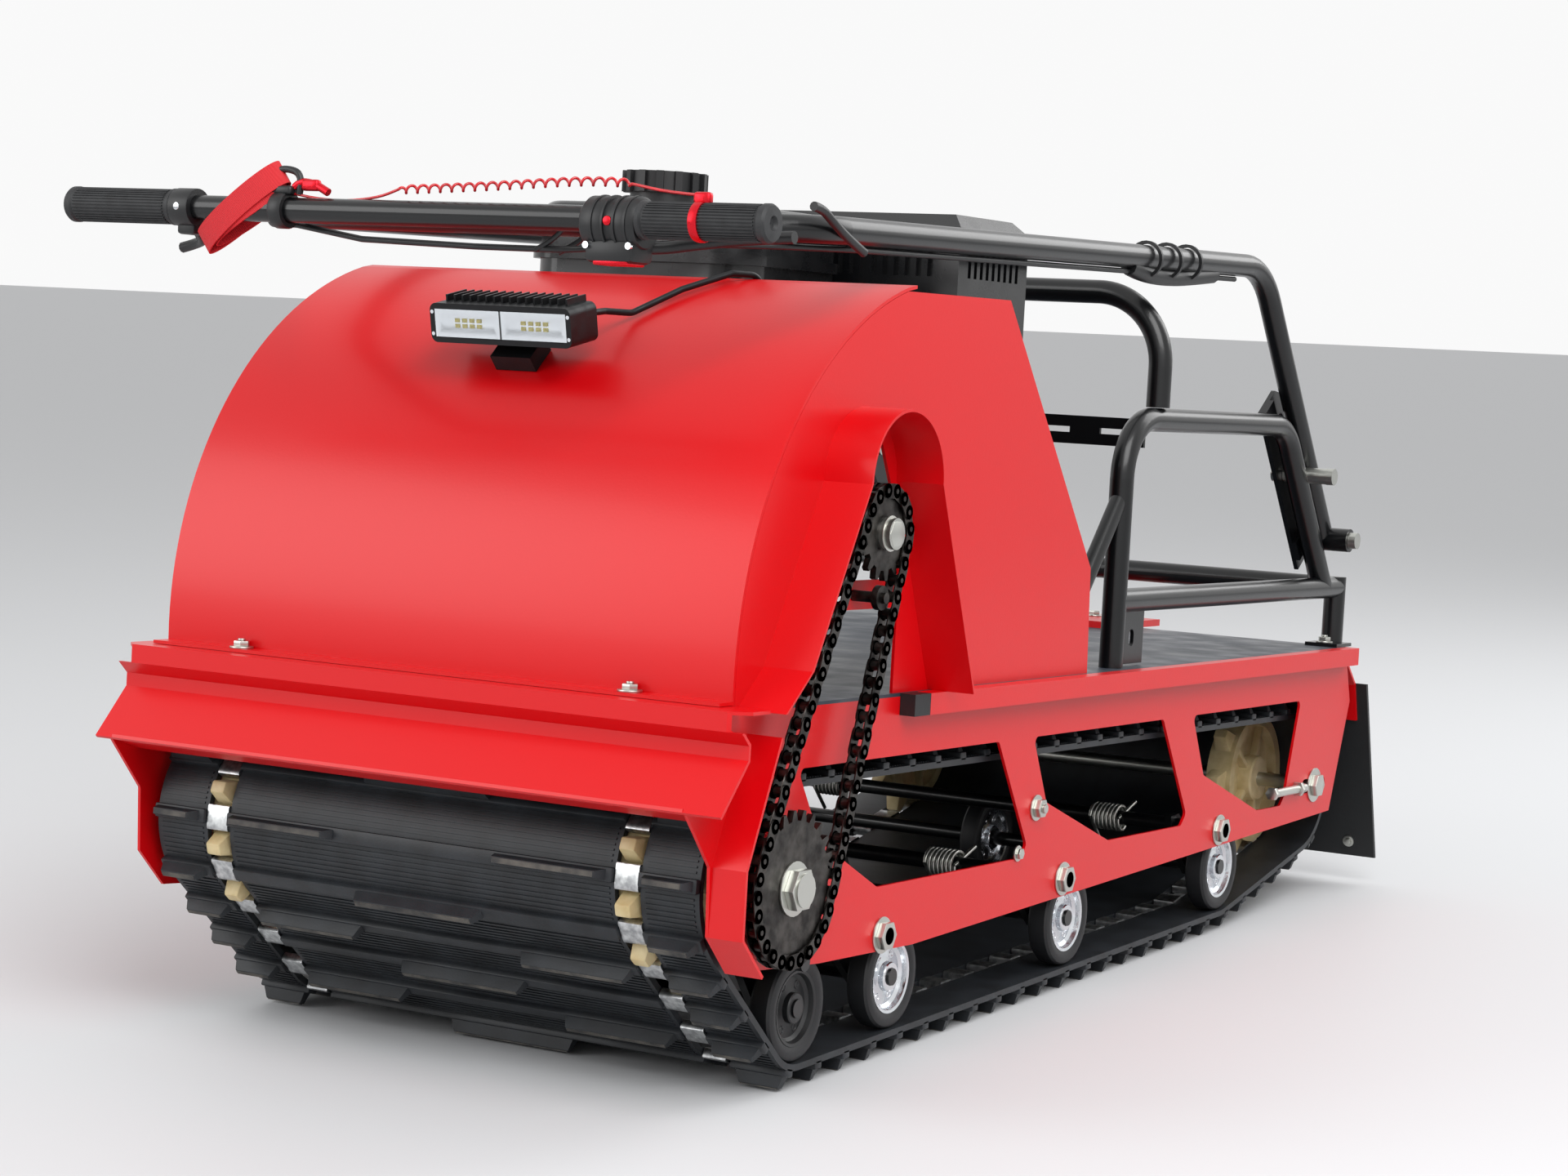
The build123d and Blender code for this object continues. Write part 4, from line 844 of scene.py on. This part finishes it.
class TUG_OT_wheels(bpy.types.Operator):
    """Road wheels with rounded tyres and dished steel discs"""
    bl_idname = "tug.wheels"
    bl_label = "Road wheels"

    def execute(self, context):
        tyre = mirrored([(34, -9.5), (38, -11.5), (43, -12), (46.5, -10.5), (48.3, -8), (48.8, 0)])
        disc = mirrored([(8.5, -10), (13, -10), (14, -9), (14, -4), (17, -2.5), (27, -2.5), (30, -5),
                         (31.5, -9.5), (34.3, -10.2)])
        rivet = ((2.0, 2.4), (2.6, 3.1), (3.6, 3.1), (4.2, 2.4))
        # The foremost discs are dark plastic, a painted shade for the shadow that falls on them behind the
        # sprocket; the others are bright steel
        tyres, bright, dark = bmesh.new(), bmesh.new(), bmesh.new()
        for x in AXLES:
            discs = dark if x == AXLES[0] else bright
            z = ground(x) + AXLE_Z
            for y in WHEEL_ROWS:
                add_lathe(tyres, tyre, (x, y, z), 36)
                add_lathe(discs, disc, (x, y, z), 36)
                for angle in (math.tau * n / 6 for n in range(6)):
                    place = (x + 22 * math.cos(angle), y, z + 22 * math.sin(angle))
                    for side in (1, -1):
                        add_lathe(discs, [(r, side * a) for r, a in rivet], place, 12)
        add_piece(tyres, "road_tyres", wheel_rubber, replaces=("wheel_tyres",))
        add_piece(bright, "road_discs", chrome_steel, replaces=("wheel_rims",))
        add_piece(dark, "front_discs_painted_shade", black_plastic)
        return {"FINISHED"}


class TUG_OT_springs(bpy.types.Operator):
    """Torsion springs round the pivots of the trailing arms"""
    bl_idname = "tug.springs"
    bl_label = "Torsion springs"

    def execute(self, context):
        shape = bmesh.new()
        wire, radius = 2.1, 13.5
        count = SPRING_TURNS * SPRING_STEPS
        for pivot in PIVOTS:
            z = ground(pivot) + PIVOT_Z
            for y in (-SPRING_Y, SPRING_Y):
                first, last = y - SPRING_HALF, y + SPRING_HALF
                made = bmesh.ops.create_circle(shape, cap_ends=False, segments=8, radius=wire,
                                               matrix=Matrix.Translation((pivot + radius, first, z)))
                bmesh.ops.spin(shape, geom=made["verts"] + list(edges_of(made["verts"])), cent=(pivot, y, z),
                               axis=(0, -1, 0), dvec=(0, 2 * SPRING_HALF / count, 0),
                               angle=SPRING_TURNS * math.tau, steps=count, use_merge=False,
                               use_duplicate=False)
                add_rod(shape, (pivot + radius, first, z), (pivot - 20, first, z - 34), wire, 8)
                add_rod(shape, (pivot + radius, last, z), (pivot - 30, last, z + 16), wire, 8)
        add_piece(shape, "torsion_springs", zinc_steel, replaces=("suspension_springs",),
                  smooth=60)
        return {"FINISHED"}


class TUG_OT_chain(bpy.types.Operator):
    """Roller chain link by link, with rollers, pins and side plates"""
    bl_idname = "tug.chain"
    bl_label = "Roller chain"

    def execute(self, context):
        pieces, total = loop_pieces([(*centre, CHAIN_PITCH / 2 / math.sin(math.pi / teeth))
                                     for centre, teeth in ((CRANK, ENGINE_TEETH), (DRIVE, DRIVE_TEETH))])
        count = 2 * round(total / CHAIN_PITCH / 2)
        pitch = total / count

        def add_plate(shape, y0, y1, r):
            verts = []
            for x in (0.0, pitch):
                matrix = Matrix.Translation((x, (y0 + y1) / 2, 0)) @ Matrix.Rotation(math.pi / 2, 4, "X")
                verts += bmesh.ops.create_cone(shape, cap_ends=True, segments=12, radius1=r, radius2=r,
                                               depth=y1 - y0, matrix=matrix)["verts"]
            bmesh.ops.convex_hull(shape, input=verts)

        links = []
        # Inner links carry the rollers, outer ones the pins: half length, radius, sides
        for span, (reach, radius, sides) in ((CHAIN_INNER, (CHAIN_INNER[0], 5.0, 12)),
                                             (CHAIN_OUTER, (7, 2.4, 8))):
            shape = bmesh.new()
            for side in (-1, 1):
                add_plate(shape, *sorted(side * y for y in span), 6.6)
            for x in (0.0, pitch):
                add_rod(shape, (x, -reach, 0), (x, reach, 0), radius, sides)
            links.append(as_mesh(shape))
        shape = bmesh.new()
        for n in range(count):
            a = on_loop(pieces, total, n * pitch, 0.0)
            b = on_loop(pieces, total, (n + 1) * pitch, 0.0)
            turn = Matrix.Rotation(-math.atan2(b[1] - a[1], b[0] - a[0]), 4, "Y")
            add_copy(shape, links[n % 2], Matrix.Translation((a[0], CHAIN_Y, a[1])) @ turn)
        add_piece(shape, "roller_chain", chain_steel, replaces=("drive_chain",))
        return {"FINISHED"}


class TUG_OT_fasteners(bpy.types.Operator):
    """Nuts, washers and bolts of the plates, hood, cage and rear"""
    bl_idname = "tug.fasteners"
    bl_label = "Fasteners"

    def execute(self, context):
        shape = bmesh.new()
        for side in (-1, 1):
            y, out = side * PLATE, (0, side, 0)
            # The foremost pivot on the left lies behind the sprocket and has no nut
            for x in PIVOTS[1:] if side == 1 else PIVOTS:
                add_bolt(shape, (x, y, ground(x) + PIVOT_Z), out, 24, 7, washer=17)
            add_bolt(shape, (124, y, 198.5), out, 17, 7, washer=13, stud=3)
            add_bolt(shape, (159.4, y, 156.5), out, 10, 4, washer=8)
            # Tension bolt of the rear shaft: nut, washer and the eye's long screw
            add_bolt(shape, (IDLER[0], y, IDLER[1]), out, 24, 7, washer=20)
            add_rod(shape, (-560, y + side * 5, 168), (-470, y + side * 5, 168), 5, 16)
            add_bolt(shape, (-470, y + side * 5, 168), (1, 0, 0), 13, 8)
            add_bolt(shape, (-545, y + side * 5, 168), (1, 0, 0), 15, 7)
        add_piece(shape, "plate_fasteners", zinc_steel)
        shape = bmesh.new()
        for y in (-213, 211):
            add_bolt(shape, (707, y, 332.4), (0, 0, 1), 13, 5, washer=11, stud=2)
        for y in (-300, -150, 0, 150, 300):
            add_bolt(shape, (-733, y, 262), (-0.94, 0, 0.33), 10, 4, washer=10)
        for x in (-695, -640):
            for y in (-28, 28):
                add_bolt(shape, (x, y, 334), (0, 0, 1), 13, 5, washer=11)
        for y in (-CAGE_Y, CAGE_Y):
            add_bolt(shape, (-660, y, 330), (0, 0, 1), 13, 5, washer=10, stud=2)
            add_bolt(shape, (-780.7, y, 84), (0.958, 0, -0.286), 8, 3, washer=7)
        for x in (440, 560):
            for y in (-150, 175):
                add_bolt(shape, (x, y, 341.6), (0, 0, 1), 13, 6, washer=10)
        # Hub of the large sprocket and the crankshaft's end
        add_bolt(shape, (DRIVE[0], 338, DRIVE[1]), (0, 1, 0), 34, 9, washer=24)
        add_bolt(shape, (CRANK[0], 341.5, CRANK[1]), (0, 1, 0), 22, 6, washer=16)
        add_piece(shape, "frame_fasteners", zinc_steel)
        return {"FINISHED"}


class TUG_OT_controls(bpy.types.Operator):
    """Ridged grips, clamp, levers, throttle housing, strap with buckle and adjuster on the bar"""
    bl_idname = "tug.controls"
    bl_label = "Bar controls"

    def execute(self, context):
        # Grips: rubber sleeves ridged lengthwise, with a flange inboard and a rounded end
        shape = bmesh.new()
        for side in (-1, 1):
            for angle in (math.tau * n / GRIP_RIDGES for n in range(GRIP_RIDGES)):
                x, z = 14.9 * math.cos(angle), 14.9 * math.sin(angle)
                ends = at_bar((x, side * (GRIP_START + 7), z), (x, side * (GRIP_START + 113), z))
                add_rod(shape, *ends, 0.9, 6)
            add_lathe(shape, GRIP, *at_bar((0, side * GRIP_START, 0)), axis=(0, side, 0))
        add_piece(shape, "rubber_grips", grip_rubber, body="handle", replaces=("grips",))

        # Clamp of the brake lever at the right grip, throttle housing at the left one
        shape = bmesh.new()
        add_lathe(shape, CLAMP, *at_bar((0, -247.4, 0)), 28)
        add_box(shape, *at_bar((-20, -246, -24), (4, -226, -8)), 3.0)
        add_lathe(shape, HOUSING, *at_bar((-7, 192, -3)), 36)
        for y in (205, 216, 227, 238):
            add_lathe(shape, [(20, -1.2), (23.4, -1.0), (23.4, 1.0), (20, 1.2)], *at_bar((-7, y, -3)), 36)
        add_box(shape, *at_bar((-24, 196, -36), (10, 244, -16)), 5.0)
        add_sweep(shape, at_bar(*BRAKE_LEVER), 5.0)
        add_sweep(shape, at_bar(*THROTTLE_LEVER), 5.5)
        add_piece(shape, "control_housings", black_plastic, body="handle",
                  replaces=("hand_controls",), smooth=40)

        shape = bmesh.new()
        add_rod(shape, *at_bar((14, -236.5, 0), (17.3, -236.5, 0)), 3.4, 16, bevel=0.4)
        add_rod(shape, *at_bar((-10, -246.2, -17), (-10, -225.8, -17)), 3.2, 14, bevel=0.6)
        # Cable adjuster: threaded barrel with its lock nut
        thread = [(4.6 - 0.5 * (n % 2), -14 + n) for n in range(24)]
        add_lathe(shape, [(2.5, -16), (4.6, -16), *thread, (4.6, 12), (2.5, 12)],
                  *at_bar((-24, -180, -4)), 18)
        add_rod(shape, *at_bar((-24, -186, -4), (-24, -181, -4)), 7.0, 6, bevel=0.5)
        for y in (199, 241):
            add_rod(shape, *at_bar((9, y, -22), (12, y, -22)), 3.0, 12)
        add_piece(shape, "control_screws", chrome_steel, body="handle")

        # Webbing strap wound slantwise and loosely round the bar, and its buckle
        shape = bmesh.new()
        for y, up, long, deep, rise in STRAP_TURNS:
            c, s = math.cos(math.radians(rise)), math.sin(math.radians(rise))
            lean = Matrix(((0, 1, 0), (c, 0, -s), (s, 0, c))).to_4x4()
            matrix = Matrix.Translation(*at_bar((0, y, up))) @ lean
            part = bmesh.new()
            verts = bmesh.ops.create_circle(part, cap_ends=False, segments=48, radius=1.0)["verts"]
            bmesh.ops.scale(part, vec=(long, deep, 1), verts=verts)
            bmesh.ops.translate(part, vec=(0, 0, -STRAP_WIDE / 2), verts=verts)
            grown = bmesh.ops.extrude_edge_only(part, edges=part.edges[:])["geom"]
            rim = [item for item in grown if isinstance(item, bmesh.types.BMVert)]
            bmesh.ops.translate(part, vec=(0, 0, STRAP_WIDE), verts=rim)
            bmesh.ops.recalc_face_normals(part, faces=part.faces)
            bmesh.ops.solidify(part, geom=part.faces[:], thickness=1.4)
            add_copy(shape, as_mesh(part), matrix)
        add_piece(shape, "bar_strap", nylon_webbing, body="handle", smooth=50)
        shape = bmesh.new()
        add_lathe(shape, [(11.4, -7), (15.5, -7), (16.5, -5), (16.5, 5), (15.5, 7), (11.4, 7)],
                  *at_bar((0, -128, 0)), 28)
        add_sweep(shape, at_bar(*BUCKLE_LOOP), 3.2)
        add_box(shape, *at_bar((-8, -138, 13), (8, -116, 21)), 2.5)
        add_piece(shape, "strap_buckle", black_plastic, body="handle", smooth=50)

        # Cable loops behind the housing, the cable's end by the leg and the wrap under it
        shape = bmesh.new()
        add_sweep(shape, at_bar(*CABLE_LOOP), 2.4)
        add_sweep(shape, at_bar(*CABLE_ARC), 2.4)
        add_sweep(shape, CABLE_END, 4.2)
        add_sweep(shape, CABLE_WRAP, 9.0)
        for x in (-100, -150, -200):
            add_lathe(shape, [(16, -2), (19.5, -2), (19.5, 2), (16, 2)], (x, 290, 745.5 - 0.022 * x), 24,
                      axis=(1, 0, 0))
        add_piece(shape, "cable_loops", black_plastic, body="handle", smooth=50)
        shape = bmesh.new()
        add_box(shape, *at_bar((-20, 204, -38), (8, 238, -33)), 1.5)
        add_rod(shape, *at_bar((12, 221.5, -2), (16.4, 221.5, -2)), 4.0, 20, bevel=0.8)
        add_piece(shape, "stop_switch", anodised_red, body="handle", smooth=50)

        # Red clips at both ends of the coiled tether
        shape = bmesh.new()
        add_sweep(shape, at_bar(*CLIP_HOOK), 3.6)
        add_box(shape, *at_bar((-4, -108, 17), (4, -90, 27)), 2.5)
        add_box(shape, *at_bar((-4, 296, 12), (4, 312, 24)), 2.5)
        add_lathe(shape, [(15.0, -4), (16.6, -4), (17.2, -2), (17.2, 2), (16.6, 4), (15.0, 4)],
                  *at_bar((0, 304, 0)), 28)
        add_piece(shape, "tether_clips", anodised_red, body="handle", smooth=50)
        return {"FINISHED"}


class TUG_OT_lamp(bpy.types.Operator):
    """Lamp face: two reflector pockets with their chips, clear glass and frame screws"""
    bl_idname = "tug.lamp"
    bl_label = "Lamp face"

    def execute(self, context):
        place = Matrix.Translation(LAMP_PLACE) @ Matrix.Rotation(math.radians(LAMP_TILT), 4, "Y")
        back, front, half, high = 18.2, 20.4, 71.6, 12.6
        pockets, chips, glass, screws = bmesh.new(), bmesh.new(), bmesh.new(), bmesh.new()
        for side in (-1, 1):
            y0, y1 = sorted((side * 1.0, side * half))
            verts = add_box(pockets, (back - 1, y0, -high), (front, y1, high))
            face = [f for f in faces_of(verts) if f.calc_center_median().x > front - 0.1]
            bmesh.ops.inset_region(pockets, faces=face, thickness=2.2, depth=0)
            bmesh.ops.inset_region(pockets, faces=face, thickness=8.0, depth=-1.9)
            for n in range(4):
                for m in range(2):
                    y, z = side * 36.3 + (n - 1.5) * 8, (m - 0.5) * 5
                    add_box(chips, (front - 2.2, y - 2.6, z - 1.8), (front - 1.2, y + 2.6, z + 1.8), 0.3)
            for z in (10, -10):
                add_rod(screws, (20.6, side * 74.3, z), (21.4, side * 74.3, z), 1.8, 12)
        add_box(glass, (front + 0.05, -half, -high), (front + 0.5, half, high))
        for shape, name, maker, slot, hides in (
                (pockets, "lamp_reflectors", lamp_reflector, "chrome_steel", ()),
                (chips, "lamp_chips", lamp_chip, "clear_lens", ()),
                (glass, "lamp_glass", lamp_glass, "clear_lens", ("lamp_lens",)),
                (screws, "lamp_screws", chrome_steel, "chrome_steel", ())):
            bmesh.ops.transform(shape, matrix=place, verts=shape.verts)
            add_piece(shape, name, maker, replaces=hides)
        return {"FINISHED"}


class TUG_OT_tether(bpy.types.Operator):
    """Coiled stop tether between its two clips on the bar"""
    bl_idname = "tug.tether"
    bl_label = "Stop tether"

    def execute(self, context):
        points = self.coil()
        curve = new_curve("stop_tether_cord", [DECK @ place for place in points], 4, TETHER_WIRE / 1000)
        curve.materials.append(finish(tether_cord))
        piece = bpy.data.objects.new("stop_tether_cord", curve)
        context.scene.collection.objects.link(piece)
        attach(piece, "handle")
        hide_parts("stop_tether")
        return {"FINISHED"}

    def coil(self):
        """The cord's points: straight from its clip, curled along the route, straight to the far clip."""
        mesh = curve_mesh(new_curve("tether_route", TETHER_ROUTE, 24))
        line = [vert.co.copy() for vert in mesh.vertices]
        bpy.data.meshes.remove(mesh)

        count = round((COIL_END - COIL_START) / COIL_PITCH) * COIL_STEPS
        points = [Vector(place) for place in (TETHER_ROUTE[0], *TETHER_START)]
        for n in range(count + 1):
            y = COIL_START + (COIL_END - COIL_START) * n / count
            for a, b in zip(line, line[1:]):
                if a.y <= y <= b.y:
                    middle = a.lerp(b, (y - a.y) / (b.y - a.y))
                    break
            # The coil widens over its first half turn and closes over its last
            wide = COIL_RADIUS * min(1.0, n * 2 / COIL_STEPS, (count - n) * 2 / COIL_STEPS)
            angle = math.tau * n / COIL_STEPS
            points.append(middle + Vector((wide * math.cos(angle), 0, wide * math.sin(angle))))
        return points + [Vector(TETHER_END), Vector(TETHER_ROUTE[-1])]


class TUG_PT_panel(bpy.types.Panel):
    bl_label = "Snow Tug"
    bl_space_type = "VIEW_3D"
    bl_region_type = "UI"
    bl_category = "Snow Tug"

    def draw(self, context):
        for operator in OPERATORS:
            self.layout.operator(operator.bl_idname)


OPERATORS = (TUG_OT_stage, TUG_OT_dress, TUG_OT_controls, TUG_OT_tether, TUG_OT_track, TUG_OT_cogs,
             TUG_OT_wheels, TUG_OT_springs, TUG_OT_chain, TUG_OT_fasteners, TUG_OT_lamp)
CLASSES = (TugStage, *OPERATORS, TUG_PT_panel)


def register():
    for cls in CLASSES:
        bpy.utils.register_class(cls)
    bpy.types.Scene.tug_stage = bpy.props.PointerProperty(type=TugStage)


def unregister():
    del bpy.types.Scene.tug_stage
    for cls in reversed(CLASSES):
        bpy.utils.unregister_class(cls)


def main():
    register()
    bpy.ops.tug.stage()
    bpy.ops.tug.dress()
    bpy.ops.tug.controls()
    bpy.ops.tug.tether()
    bpy.ops.tug.track()
    bpy.ops.tug.cogs()
    bpy.ops.tug.wheels()
    bpy.ops.tug.springs()
    bpy.ops.tug.chain()
    bpy.ops.tug.fasteners()
    bpy.ops.tug.lamp()


if __name__ == "__main__":
    main()
